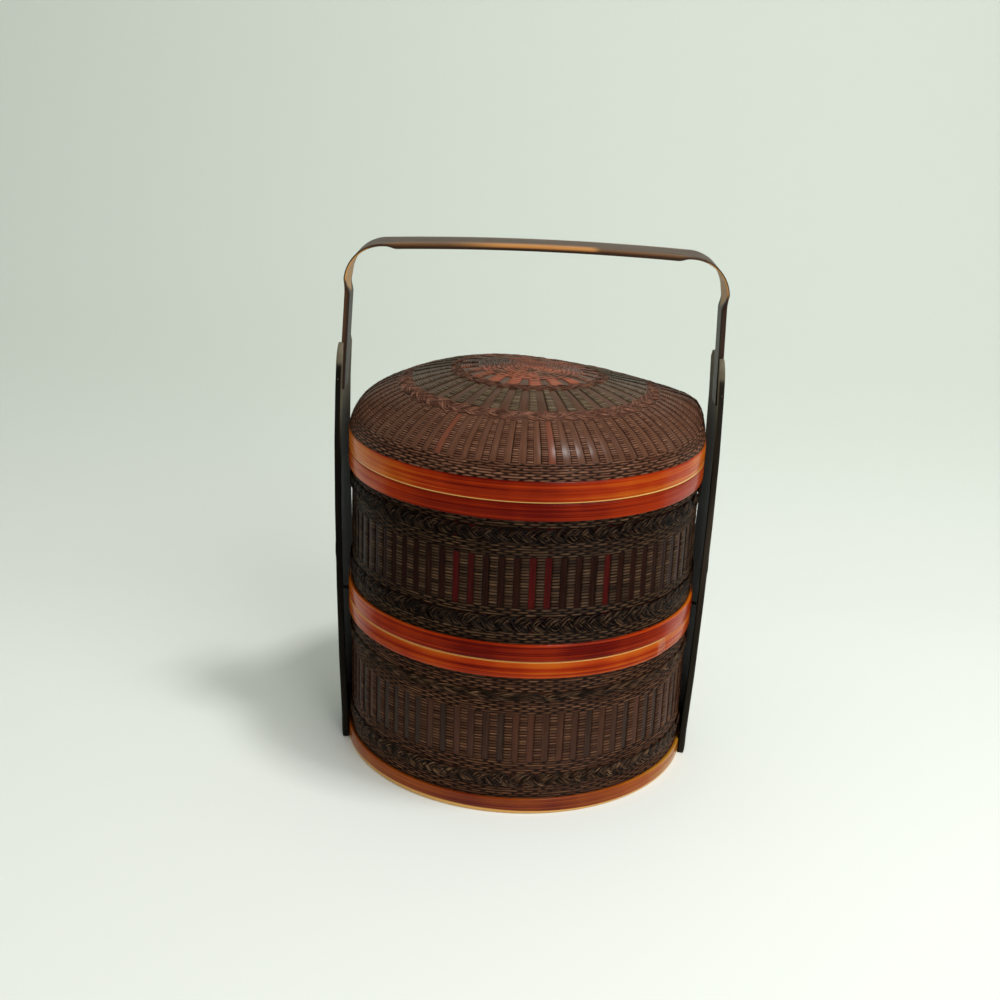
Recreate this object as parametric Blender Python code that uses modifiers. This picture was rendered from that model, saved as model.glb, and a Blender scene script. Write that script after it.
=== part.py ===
"""Two-tier bamboo food basket with a domed lid, side posts and an arched carrying handle.

Metres, +Z up. The origin is the centre of the base. The handle runs along X.
"""
import math

import bmesh
import bpy
from mathutils import Matrix

OBJECT_NAME = "tiered_bamboo_food_basket"

# Fits between pieces
REST_GAP = 0.0003
COLLAR_CLEARANCE = 0.0005
LEG_SIDE_CLEARANCE = 0.0003
CUT_OVERRUN = 0.004

# Hoops, weave and inner rings
HOOP_OUTER_RADIUS = 0.1407
HOOP_THICKNESS = 0.0026
WALL_THICKNESS = 0.0030
RING_THICKNESS = 0.0028
BRAID_RELIEF = 0.0018
TURN_STEPS = 48
CORNER_DEGREES = 35.0

# Heights of the tiers and their hoops
LOWER_TIER_HEIGHT = 0.1259
UPPER_TIER_HEIGHT = 0.1221
LOWER_FOOT_HOOP_HEIGHT = 0.0121
UPPER_FOOT_HOOP_HEIGHT = 0.0136
LOWER_RIM_HOOP_HEIGHT = 0.0131
UPPER_RIM_HOOP_HEIGHT = 0.0135
EDGE_RECESS = 0.0004

# Collar that locates the piece above
COLLAR_RISE = 0.0090
COLLAR_GRIP = 0.0140

# Floors and the battens under them
FLOOR_THICKNESS = 0.0030
BATTEN_THICKNESS = 0.0032
BATTEN_WIDTH = 0.0140
BATTEN_SPACING = 0.0900

# Braid bands, as distances down from the rim hoop and up from the foot hoop
LOWER_UPPER_BRAID_DROP = 0.0122
LOWER_UPPER_BRAID_HEIGHT = 0.0075
LOWER_LOWER_BRAID_RISE = 0.0098
LOWER_LOWER_BRAID_HEIGHT = 0.0110
UPPER_UPPER_BRAID_DROP = 0.0058
UPPER_UPPER_BRAID_HEIGHT = 0.0119
UPPER_LOWER_BRAID_RISE = 0.0085
UPPER_LOWER_BRAID_HEIGHT = 0.0130

# Lid
LID_HOOP_HEIGHT = 0.0157
LID_RING_HEIGHT = 0.0065
DOME_SET_BACK = 0.0007
DOME_RISE = 0.0515
DOME_LIP = 0.0006
DOME_ROUNDNESS = 0.59
DOME_CROWN_SHARE = 0.55
DOME_SHOULDER_SHARES = (0.42, 0.74, 0.92, 1.0)
DOME_STAKES = 80
CROWN_STAKES = 40
STAKE_SET_BACK = 0.0009
CROWN_BRAID_RADIUS = 0.0580
CROWN_BRAID_WIDTH = 0.0085
OUTER_BRAID_INSET = 0.0430
OUTER_BRAID_WIDTH = 0.0120
LID_BRAID_RELIEF = 0.0014

# Side posts, cut from bowed bamboo
POST_RISE = 0.0643
POST_THICKNESS = 0.0050
POST_FOOT_WIDTH = 0.0720
POST_TOP_WIDTH = 0.0520
POST_BOW = 0.0058
POST_BOW_SHARES = (
    (0.0, 0.0),
    (0.05, 0.04),
    (0.2, 0.42),
    (0.4, 0.74),
    (0.6, 0.95),
    (0.77, 1.0),
    (0.9, 0.86),
    (1.0, 0.66),
)
EAR_HEIGHT = 0.0380
EAR_ROUNDING = 0.0060
POST_STEPS = 96

# Handle, bent from one bamboo strip
HANDLE_RISE = 0.0773
GRIP_BOW = 0.0030
GRIP_WIDTH = 0.0420
GRIP_THICKNESS = 0.0038
GRIP_PAD_INSET = 0.0066
BEND_RADIUS = 0.0300
BEND_THICKNESS = 0.0018
LEG_WIDTH = 0.0225
LEG_THICKNESS = 0.0042
LEG_SET_BACK = 0.0015
LEG_LEAN = 0.0024
LEG_SHAVE_DROP = 0.0400
LEG_NECK_DROP = 0.0275
LEG_NECK_ROUNDING = 0.0100
THINNING_LENGTH = 0.0060
BEND_STEPS = 8
GRIP_STEPS = 6
ROUNDING_STEPS = 4

# Pegs
LEG_PEG_RADIUS = 0.0008
LEG_PEG_RISE = 0.0120
LEG_PEG_PROUD = 0.0006
POST_PEG_RADIUS = 0.0014
POST_PEG_HEAD_RADIUS = 0.0028
POST_PEG_HEAD_HEIGHT = 0.0012
PEG_SIDES = 12

# Radii that follow from the sizes above
HOOP_INNER_RADIUS = HOOP_OUTER_RADIUS - HOOP_THICKNESS
WALL_OUTER_RADIUS = HOOP_INNER_RADIUS - REST_GAP
WALL_INNER_RADIUS = WALL_OUTER_RADIUS - WALL_THICKNESS
RING_OUTER_RADIUS = WALL_INNER_RADIUS - REST_GAP
RING_INNER_RADIUS = RING_OUTER_RADIUS - RING_THICKNESS
COLLAR_OUTER_RADIUS = WALL_INNER_RADIUS - COLLAR_CLEARANCE
COLLAR_INNER_RADIUS = COLLAR_OUTER_RADIUS - RING_THICKNESS
BRAID_INNER_RADIUS = WALL_OUTER_RADIUS + REST_GAP
BRAID_OUTER_RADIUS = BRAID_INNER_RADIUS + BRAID_RELIEF
DOME_RADIUS = HOOP_OUTER_RADIUS - DOME_SET_BACK
OUTER_BRAID_RADIUS = DOME_RADIUS - OUTER_BRAID_INSET
FACET_SHARE = math.cos(math.pi / TURN_STEPS)
DOME_PANELS = 2 * DOME_STAKES
CROWN_PANELS = DOME_PANELS // CROWN_STAKES
CROWN_STAKE_PANELS = range(CROWN_PANELS // 2, CROWN_PANELS)

# Heights that follow
UPPER_TIER_BASE = LOWER_TIER_HEIGHT
LID_BASE = UPPER_TIER_BASE + UPPER_TIER_HEIGHT
POST_HEIGHT = LID_BASE + LID_HOOP_HEIGHT + POST_RISE
SLOT_BOTTOM = POST_HEIGHT - EAR_HEIGHT
HANDLE_SHOULDER_HEIGHT = POST_HEIGHT + HANDLE_RISE
LEG_SHAVE_HEIGHT = HANDLE_SHOULDER_HEIGHT - LEG_SHAVE_DROP
LEG_NECK_HEIGHT = HANDLE_SHOULDER_HEIGHT - LEG_NECK_DROP
LEG_PEG_HEIGHT = SLOT_BOTTOM + LEG_PEG_RISE

# Colour, roughness and metallic value of each finish
FINISHES = {
    "hoop_lacquer": ((0.42, 0.085, 0.018, 1.0), 0.28, 0.0),
    "dark_weave": ((0.055, 0.026, 0.019, 1.0), 0.55, 0.0),
    "dark_braid": ((0.040, 0.024, 0.019, 1.0), 0.60, 0.0),
    "lid_weave": ((0.085, 0.030, 0.020, 1.0), 0.50, 0.0),
    "inner_bamboo": ((0.36, 0.20, 0.085, 1.0), 0.55, 0.0),
    "floor_weave": ((0.22, 0.11, 0.050, 1.0), 0.60, 0.0),
    "post_bamboo": ((0.045, 0.032, 0.024, 1.0), 0.42, 0.0),
    "handle_bamboo": ((0.115, 0.048, 0.024, 1.0), 0.38, 0.0),
    "peg_bamboo": ((0.060, 0.036, 0.022, 1.0), 0.50, 0.0),
}


def clear_scene():
    """Remove the objects that the scene starts with."""
    for thing in list(bpy.data.objects):
        bpy.data.objects.remove(thing, do_unlink=True)


def new_collection(name):
    """Make a collection in the scene."""
    collection = bpy.data.collections.new(name)
    bpy.context.scene.collection.children.link(collection)
    return collection


def make_finish(name):
    """Make one plain Principled material from the table of finishes."""
    colour, roughness, metallic = FINISHES[name]
    material = bpy.data.materials.new(name)
    material.use_nodes = True
    shader = material.node_tree.nodes["Principled BSDF"]
    shader.inputs["Base Color"].default_value = colour
    shader.inputs["Roughness"].default_value = roughness
    shader.inputs["Metallic"].default_value = metallic
    material.diffuse_color = colour
    return material


def add_part(name, mesh, finish, parent=None):
    """Put a mesh in the scene as a named part with its own material."""
    thing = bpy.data.objects.new(name, mesh)
    thing.data.materials.clear()
    thing.data.materials.append(MATERIALS[finish])
    PARTS.objects.link(thing)
    if parent is not None:
        thing.parent = parent
    return thing


def add_cutter(name, mesh, parent=None):
    """Put a mesh in the scene as a cutter, which isn't part of the basket."""
    thing = bpy.data.objects.new(name, mesh)
    thing.hide_render = True
    thing.display_type = "WIRE"
    CUTTERS.objects.link(thing)
    if parent is not None:
        thing.parent = parent
    return thing


def profile_mesh(name, points, closed):
    """Make the edges of a profile in the XZ plane, from radius and height pairs."""
    shape = bmesh.new()
    corners = [shape.verts.new((radius, 0.0, height)) for radius, height in points]
    for first, second in zip(corners, corners[1:]):
        shape.edges.new((first, second))
    if closed:
        shape.edges.new((corners[-1], corners[0]))
    mesh = bpy.data.meshes.new(name)
    shape.to_mesh(mesh)
    shape.free()
    return mesh


def add_screw(thing, steps):
    """Turn an object's profile about Z."""
    turn = thing.modifiers.new("turn", "SCREW")
    turn.axis = "Z"
    turn.angle = math.tau
    turn.steps = steps
    turn.render_steps = steps
    turn.use_merge_vertices = True
    turn.merge_threshold = 0.00001
    turn.use_smooth_shade = False


def turned_part(name, points, finish, parent=None, closed=True):
    """Make a part by turning a profile that runs down its outer side first."""
    thing = add_part(name, profile_mesh(name, points, closed), finish, parent)
    add_screw(thing, TURN_STEPS)
    return thing


def ring(name, outer, inner, bottom, top, finish, parent=None):
    """Make a plain ring of rectangular section."""
    points = [(outer, top), (outer, bottom), (inner, bottom), (inner, top)]
    return turned_part(name, points, finish, parent)


def disc(name, radius, bottom, thickness, finish, parent=None):
    """Make a flat round plate."""
    shape = bmesh.new()
    middle = Matrix.Translation((0.0, 0.0, bottom + thickness / 2))
    bmesh.ops.create_cone(
        shape, cap_ends=True, segments=TURN_STEPS, radius1=radius, radius2=radius,
        depth=thickness, matrix=middle)
    mesh = bpy.data.meshes.new(name)
    shape.to_mesh(mesh)
    shape.free()
    return add_part(name, mesh, finish, parent)


def block_mesh(name, size, centre):
    """Make a box mesh of a size about a centre."""
    shape = bmesh.new()
    bmesh.ops.create_cube(shape, size=1.0)
    bmesh.ops.scale(shape, vec=size, verts=shape.verts)
    bmesh.ops.translate(shape, vec=centre, verts=shape.verts)
    mesh = bpy.data.meshes.new(name)
    shape.to_mesh(mesh)
    shape.free()
    return mesh


def turned_shape(points, steps):
    """Turn a profile whose ends lie on the axis into a closed shape."""
    shape = bmesh.new()
    corners = [shape.verts.new((radius, 0.0, height)) for radius, height in points]
    edges = [shape.edges.new(pair) for pair in zip(corners, corners[1:])]
    bmesh.ops.spin(
        shape, geom=corners + edges, cent=(0.0, 0.0, 0.0), axis=(0.0, 0.0, 1.0),
        angle=math.tau, steps=steps, use_merge=True)
    bmesh.ops.remove_doubles(shape, verts=shape.verts, dist=0.00001)
    bmesh.ops.recalc_face_normals(shape, faces=shape.faces)
    return shape


def rod_mesh(name, sections, turn, centre):
    """Make a stepped round rod along Z from (radius, start, end) sections, then turn it."""
    points = [(0.0, sections[-1][2])]
    for radius, start, end in reversed(sections):
        points.append((radius, end))
        points.append((radius, start))
    points.append((0.0, sections[0][1]))
    shape = turned_shape(points, PEG_SIDES)
    bmesh.ops.transform(shape, matrix=Matrix.Translation(centre) @ turn, verts=shape.verts)
    mesh = bpy.data.meshes.new(name)
    shape.to_mesh(mesh)
    shape.free()
    return mesh


def plate_mesh(name, outline, thickness, matrix):
    """Make a flat plate from a closed 2D curve, as a welded mesh placed by a matrix."""
    curve = bpy.data.curves.new(name, "CURVE")
    curve.dimensions = "2D"
    curve.fill_mode = "BOTH"
    curve.extrude = thickness / 2
    spline = curve.splines.new("POLY")
    spline.points.add(len(outline) - 1)
    for point, (across, along) in zip(spline.points, outline):
        point.co = (across, along, 0.0, 1.0)
    spline.use_cyclic_u = True
    drawn = bpy.data.objects.new(name, curve)
    CUTTERS.objects.link(drawn)
    bpy.context.view_layer.update()
    seen = drawn.evaluated_get(bpy.context.evaluated_depsgraph_get())
    mesh = bpy.data.meshes.new_from_object(seen)
    bpy.data.objects.remove(drawn, do_unlink=True)
    bpy.data.curves.remove(curve)
    shape = bmesh.new()
    shape.from_mesh(mesh)
    bmesh.ops.remove_doubles(shape, verts=shape.verts, dist=0.00001)
    bmesh.ops.recalc_face_normals(shape, faces=shape.faces)
    bmesh.ops.transform(shape, matrix=matrix, verts=shape.verts)
    shape.to_mesh(mesh)
    shape.free()
    return mesh


def smoothing_group():
    """Make the node group that shades round faces smooth and keeps corners sharp."""
    group = bpy.data.node_groups.new("smooth_round_faces", "GeometryNodeTree")
    group.interface.new_socket("Geometry", in_out="INPUT", socket_type="NodeSocketGeometry")
    group.interface.new_socket("Geometry", in_out="OUTPUT", socket_type="NodeSocketGeometry")
    start = group.nodes.new("NodeGroupInput")
    end = group.nodes.new("NodeGroupOutput")
    faces = group.nodes.new("GeometryNodeSetShadeSmooth")
    faces.domain = "FACE"
    faces.inputs["Shade Smooth"].default_value = True
    corners = group.nodes.new("GeometryNodeSetShadeSmooth")
    corners.domain = "EDGE"
    corners.inputs["Shade Smooth"].default_value = False
    angle = group.nodes.new("GeometryNodeInputMeshEdgeAngle")
    steep = group.nodes.new("FunctionNodeCompare")
    steep.data_type = "FLOAT"
    steep.operation = "GREATER_THAN"
    steep.inputs["B"].default_value = math.radians(CORNER_DEGREES)
    group.links.new(angle.outputs["Unsigned Angle"], steep.inputs["A"])
    group.links.new(steep.outputs["Result"], corners.inputs["Selection"])
    group.links.new(start.outputs["Geometry"], faces.inputs["Geometry"])
    group.links.new(faces.outputs["Geometry"], corners.inputs["Geometry"])
    group.links.new(corners.outputs["Geometry"], end.inputs["Geometry"])
    return group


def shade_parts():
    """Shade the round faces of every part smooth, after its cuts."""
    group = smoothing_group()
    for thing in PARTS.objects:
        if thing.type == "MESH":
            shading = thing.modifiers.new("shading", "NODES")
            shading.node_group = group


def cut(thing, cutter, operation="DIFFERENCE"):
    """Cut a part with a cutter, or keep what lies inside it."""
    step = thing.modifiers.new(cutter.name, "BOOLEAN")
    step.operation = operation
    step.solver = "EXACT"
    step.object = cutter


def arc(centre, radius, start, end, steps):
    """Give the points of an arc, with its angles in degrees."""
    points = []
    for step in range(steps + 1):
        angle = math.radians(start + (end - start) * step / steps)
        across = centre[0] + radius * math.cos(angle)
        along = centre[1] + radius * math.sin(angle)
        points.append((across, along))
    return points


def blend_table(table, share):
    """Read a table of shares between its rows."""
    for (low, low_value), (high, high_value) in zip(table, table[1:]):
        if share <= high:
            return low_value + (high_value - low_value) * (share - low) / (high - low)
    return table[-1][1]


def lift_origin(name, height, parent=None):
    """Mark the vertical axis along which a piece lifts off."""
    marker = bpy.data.objects.new(name, None)
    marker.location = (0.0, 0.0, height)
    PARTS.objects.link(marker)
    if parent is not None:
        marker.parent = parent
        marker.location = (0.0, 0.0, height - parent.location.z)
    return marker


def build_wall(prefix, height, parent):
    """Make the woven wall of a tier, held between its hoops and inner rings."""
    return ring(
        prefix + "_wall", WALL_OUTER_RADIUS, WALL_INNER_RADIUS, EDGE_RECESS,
        height - EDGE_RECESS, "dark_weave", parent)


def build_hoops(prefix, height, foot_height, rim_height, parent):
    """Make the outer foot hoop and the outer rim hoop of a tier."""
    foot = ring(
        prefix + "_foot_hoop", HOOP_OUTER_RADIUS, HOOP_INNER_RADIUS, 0.0,
        foot_height, "hoop_lacquer", parent)
    rim = ring(
        prefix + "_rim_hoop", HOOP_OUTER_RADIUS, HOOP_INNER_RADIUS, height - rim_height,
        height - REST_GAP, "hoop_lacquer", parent)
    return foot, rim


def build_collar(prefix, height, parent):
    """Make the inner ring at the rim, which rises into the piece above."""
    return ring(
        prefix + "_collar", COLLAR_OUTER_RADIUS, COLLAR_INNER_RADIUS,
        height - COLLAR_GRIP, height + COLLAR_RISE, "inner_bamboo", parent)


def build_floor(prefix, ring_bottom, floor_bottom, parent):
    """Make the foot ring, the woven floor that rests on it, and the battens beneath."""
    ring(
        prefix + "_foot_ring", RING_OUTER_RADIUS, RING_INNER_RADIUS, ring_bottom,
        floor_bottom - REST_GAP, "inner_bamboo", parent)
    disc(
        prefix + "_floor", RING_OUTER_RADIUS, floor_bottom, FLOOR_THICKNESS,
        "floor_weave", parent)
    reach = RING_INNER_RADIUS * FACET_SHARE - REST_GAP
    outer_edge = BATTEN_SPACING / 2 + BATTEN_WIDTH / 2
    length = 2 * math.sqrt(reach ** 2 - outer_edge ** 2)
    size = (length, BATTEN_WIDTH, BATTEN_THICKNESS)
    height = floor_bottom - REST_GAP - BATTEN_THICKNESS / 2
    for number, side in enumerate((-1, 1), start=1):
        name = f"{prefix}_batten_{number}"
        mesh = block_mesh(name, size, (0.0, side * BATTEN_SPACING / 2, height))
        add_part(name, mesh, "inner_bamboo", parent)


def build_braid(name, bottom, height, parent):
    """Make a raised braid band round a wall."""
    ring(
        name, BRAID_OUTER_RADIUS, BRAID_INNER_RADIUS, bottom, bottom + height,
        "dark_braid", parent)


def build_lower_tier():
    """Make the lower tier, which the side posts are pegged to."""
    prefix = "lower_tier"
    build_wall(prefix, LOWER_TIER_HEIGHT, None)
    hoops = build_hoops(
        prefix, LOWER_TIER_HEIGHT, LOWER_FOOT_HOOP_HEIGHT, LOWER_RIM_HOOP_HEIGHT, None)
    build_collar(prefix, LOWER_TIER_HEIGHT, None)
    build_floor(prefix, 0.0, LOWER_FOOT_HOOP_HEIGHT, None)
    rim_bottom = LOWER_TIER_HEIGHT - LOWER_RIM_HOOP_HEIGHT
    upper_bottom = rim_bottom - LOWER_UPPER_BRAID_DROP - LOWER_UPPER_BRAID_HEIGHT
    build_braid(prefix + "_upper_braid", upper_bottom, LOWER_UPPER_BRAID_HEIGHT, None)
    lower_bottom = LOWER_FOOT_HOOP_HEIGHT + LOWER_LOWER_BRAID_RISE
    build_braid(prefix + "_lower_braid", lower_bottom, LOWER_LOWER_BRAID_HEIGHT, None)
    return hoops


def build_upper_tier(origin):
    """Make the upper tier, which stands on the lower one round its collar."""
    prefix = "upper_tier"
    build_wall(prefix, UPPER_TIER_HEIGHT, origin)
    build_hoops(
        prefix, UPPER_TIER_HEIGHT, UPPER_FOOT_HOOP_HEIGHT, UPPER_RIM_HOOP_HEIGHT, origin)
    build_collar(prefix, UPPER_TIER_HEIGHT, origin)
    ring_bottom = COLLAR_RISE + COLLAR_CLEARANCE
    floor_bottom = ring_bottom + BATTEN_THICKNESS + REST_GAP
    build_floor(prefix, ring_bottom, floor_bottom, origin)
    rim_bottom = UPPER_TIER_HEIGHT - UPPER_RIM_HOOP_HEIGHT
    upper_bottom = rim_bottom - UPPER_UPPER_BRAID_DROP - UPPER_UPPER_BRAID_HEIGHT
    build_braid(prefix + "_upper_braid", upper_bottom, UPPER_UPPER_BRAID_HEIGHT, origin)
    lower_bottom = UPPER_FOOT_HOOP_HEIGHT + UPPER_LOWER_BRAID_RISE
    build_braid(prefix + "_lower_braid", lower_bottom, UPPER_LOWER_BRAID_HEIGHT, origin)


def dome_height(radius, full_radius, rise):
    """Give the dome's height above its edge at a radius."""
    share = min(radius / full_radius, 1.0)
    return rise * (1.0 - share ** 2) ** DOME_ROUNDNESS


def dome_radii(full_radius):
    """Give the radii at which a dome profile has its points, from the middle out."""
    crown = CROWN_BRAID_RADIUS - CROWN_BRAID_WIDTH / 2
    radii = [0.0, DOME_CROWN_SHARE * crown]
    for middle, width in (
            (CROWN_BRAID_RADIUS, CROWN_BRAID_WIDTH), (OUTER_BRAID_RADIUS, OUTER_BRAID_WIDTH)):
        radii.append(middle - width / 2)
        radii.append(middle + width / 2)
    radii.insert(4, (CROWN_BRAID_RADIUS + OUTER_BRAID_RADIUS) / 2)
    shoulder = radii[-1]
    for share in DOME_SHOULDER_SHARES:
        radii.append(shoulder + share * (DOME_RADIUS - shoulder))
    return [radius * full_radius / DOME_RADIUS for radius in radii]


def dome_points(full_radius, rise, base, skirt_bottom):
    """Give the profile of a dome and its skirt, from the top round to the axis below."""
    points = []
    for radius in dome_radii(full_radius):
        points.append((radius, base + dome_height(radius, full_radius, rise)))
    skirt = min(full_radius, WALL_OUTER_RADIUS)
    if skirt < full_radius:
        points.append((skirt, base - DOME_LIP))
    points.append((skirt, skirt_bottom))
    points.append((0.0, skirt_bottom))
    return points


def shown_stakes(shape, base):
    """Find the dome's faces where the stakes show between the columns of wefts."""
    crown_start = CROWN_BRAID_RADIUS + CROWN_BRAID_WIDTH / 2
    crown_end = OUTER_BRAID_RADIUS - OUTER_BRAID_WIDTH / 2
    shoulder_start = OUTER_BRAID_RADIUS + OUTER_BRAID_WIDTH / 2
    shoulder_end = dome_radii(DOME_RADIUS)[-2]
    found = []
    for face in shape.faces:
        middle = face.calc_center_median()
        radius = middle.xy.length
        turn = math.atan2(middle.y, middle.x) % math.tau / math.tau
        panel = int(turn * DOME_PANELS)
        in_crown = crown_start < radius < crown_end and panel % CROWN_PANELS in CROWN_STAKE_PANELS
        on_shoulder = shoulder_start < radius < shoulder_end and panel % 2
        if middle.z > base and (in_crown or on_shoulder):
            found.append(face)
    return found


def set_back(shape, faces, base):
    """Set faces back by the depth of the weave, towards the middle of the dome's base."""
    made = bmesh.ops.extrude_face_region(shape, geom=faces)
    corners = [part for part in made["geom"] if isinstance(part, bmesh.types.BMVert)]
    across = 1.0 - STAKE_SET_BACK / DOME_RADIUS
    upright = 1.0 - STAKE_SET_BACK / DOME_RISE
    bmesh.ops.scale(
        shape, vec=(across, across, upright), verts=corners,
        space=Matrix.Translation((0.0, 0.0, -base)))
    bmesh.ops.delete(shape, geom=faces, context="FACES")
    bmesh.ops.recalc_face_normals(shape, faces=shape.faces)


def build_dome(origin):
    """Make the woven dome: stakes set back between columns, and a skirt inside the hoop."""
    base = LID_HOOP_HEIGHT + REST_GAP + DOME_LIP
    shape = turned_shape(dome_points(DOME_RADIUS, DOME_RISE, base, EDGE_RECESS), DOME_PANELS)
    set_back(shape, shown_stakes(shape, base), base)
    mesh = bpy.data.meshes.new("lid_dome")
    shape.to_mesh(mesh)
    shape.free()
    dome = add_part("lid_dome", mesh, "lid_weave", origin)
    inner = dome_points(
        WALL_INNER_RADIUS, DOME_RISE - WALL_THICKNESS, base, EDGE_RECESS - CUT_OVERRUN)
    hollow = add_cutter("dome_hollow", profile_mesh("dome_hollow", inner, False), origin)
    add_screw(hollow, TURN_STEPS)
    cut(dome, hollow)


def build_lid_braid(name, middle, width, origin):
    """Make a braid ring that lies on the dome."""
    near = middle - width / 2
    far = middle + width / 2
    base = LID_HOOP_HEIGHT + REST_GAP + DOME_LIP + 2 * REST_GAP
    low_far = base + dome_height(far, DOME_RADIUS, DOME_RISE)
    low_near = base + dome_height(near, DOME_RADIUS, DOME_RISE)
    points = [
        (near, low_near + LID_BRAID_RELIEF),
        (far, low_far + LID_BRAID_RELIEF),
        (far, low_far),
        (near, low_near),
    ]
    turned_part(name, points, "dark_braid", origin)


def build_lid(origin):
    """Make the lid: dome, hoop, inner ring and two braid rings."""
    build_dome(origin)
    ring(
        "lid_rim_hoop", HOOP_OUTER_RADIUS, HOOP_INNER_RADIUS, 0.0, LID_HOOP_HEIGHT,
        "hoop_lacquer", origin)
    ring_bottom = COLLAR_RISE + COLLAR_CLEARANCE
    ring(
        "lid_inner_ring", RING_OUTER_RADIUS, RING_INNER_RADIUS, ring_bottom,
        ring_bottom + LID_RING_HEIGHT, "inner_bamboo", origin)
    build_lid_braid("lid_crown_braid", CROWN_BRAID_RADIUS, CROWN_BRAID_WIDTH, origin)
    build_lid_braid("lid_outer_braid", OUTER_BRAID_RADIUS, OUTER_BRAID_WIDTH, origin)


def post_inner_radius(height):
    """Give the distance from the basket's axis to a post's inner face."""
    foot = HOOP_OUTER_RADIUS + REST_GAP
    return foot + POST_BOW * blend_table(POST_BOW_SHARES, height / POST_HEIGHT)


def post_shell():
    """Make the bowed shell that both posts are cut from."""
    heights = [share * POST_HEIGHT for share, stand_off_share in POST_BOW_SHARES]
    heights[0] -= CUT_OVERRUN
    heights[-1] += CUT_OVERRUN
    outer = []
    inner = []
    for height in heights:
        radius = post_inner_radius(min(max(height, 0.0), POST_HEIGHT))
        inner.append((radius, height))
        outer.append((radius + POST_THICKNESS, height))
    points = outer[::-1] + inner
    shell = add_cutter("post_shell", profile_mesh("post_shell", points, True))
    add_screw(shell, POST_STEPS)
    return shell


def post_outline():
    """Draw a post from outside: wide at the foot, forked at the top."""
    half_foot = POST_FOOT_WIDTH / 2
    half_top = POST_TOP_WIDTH / 2
    half_slot = LEG_WIDTH / 2 + LEG_SIDE_CLEARANCE
    corner = (half_top - EAR_ROUNDING, POST_HEIGHT - EAR_ROUNDING)
    right = [(half_foot, 0.0), (half_top, SLOT_BOTTOM)]
    right += arc(corner, EAR_ROUNDING, 0.0, 90.0, ROUNDING_STEPS)
    right += [(half_slot, POST_HEIGHT), (half_slot, SLOT_BOTTOM)]
    left = [(-across, along) for across, along in reversed(right)]
    return right + left


def facing_side(side):
    """Give the turn that stands an outline up in the YZ plane on one side."""
    upright = Matrix.Rotation(math.pi / 2, 4, "X")
    outward = Matrix.Rotation(side * math.pi / 2, 4, "Z")
    return outward @ upright


def leg_outer_reach():
    """Give the distance from the axis to the outer face of the legs at their feet."""
    ear_middle = (SLOT_BOTTOM + POST_HEIGHT) / 2
    ear_radius = post_inner_radius(ear_middle) + POST_THICKNESS
    return ear_radius - LEG_SET_BACK


def leg_peg_mesh(name, side, radius, reach):
    """Make a thin round peg across one fork, along Y."""
    along_y = Matrix.Rotation(-math.pi / 2, 4, "X")
    across = side * (leg_outer_reach() - LEG_THICKNESS / 2)
    sections = [(radius, -reach, reach)]
    return rod_mesh(name, sections, along_y, (across, 0.0, LEG_PEG_HEIGHT))


def post_peg_mesh(name, side, height, spare, overrun):
    """Make a headed peg through a post into a hoop, along X, or the hole for it."""
    outward = Matrix.Rotation(side * math.pi / 2, 4, "Y")
    head_start = post_inner_radius(height) + POST_THICKNESS + REST_GAP
    shank_start = HOOP_INNER_RADIUS - overrun
    if spare:
        sections = [(POST_PEG_RADIUS + spare, shank_start, head_start + overrun)]
    else:
        sections = [
            (POST_PEG_RADIUS, shank_start, head_start),
            (POST_PEG_HEAD_RADIUS, head_start, head_start + POST_PEG_HEAD_HEIGHT),
        ]
    return rod_mesh(name, sections, outward, (0.0, 0.0, height))


def build_post(name, side, shell):
    """Make one forked side post."""
    reach = HOOP_OUTER_RADIUS + POST_BOW + POST_THICKNESS + CUT_OVERRUN
    near = WALL_INNER_RADIUS * math.cos(POST_FOOT_WIDTH / 2 / HOOP_OUTER_RADIUS)
    middle = Matrix.Translation((side * (reach + near) / 2, 0.0, 0.0))
    matrix = middle @ facing_side(side)
    mesh = plate_mesh(name, post_outline(), reach - near, matrix)
    post = add_part(name, mesh, "post_bamboo")
    cut(post, shell, "INTERSECT")
    return post


def handle_line(across):
    """Give the height of the grip's upper face at a distance from the middle."""
    end = leg_outer_reach() - LEG_LEAN - BEND_RADIUS
    share = min(abs(across) / end, 1.0)
    return HANDLE_SHOULDER_HEIGHT + GRIP_BOW * (1.0 - share ** 2)


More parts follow.
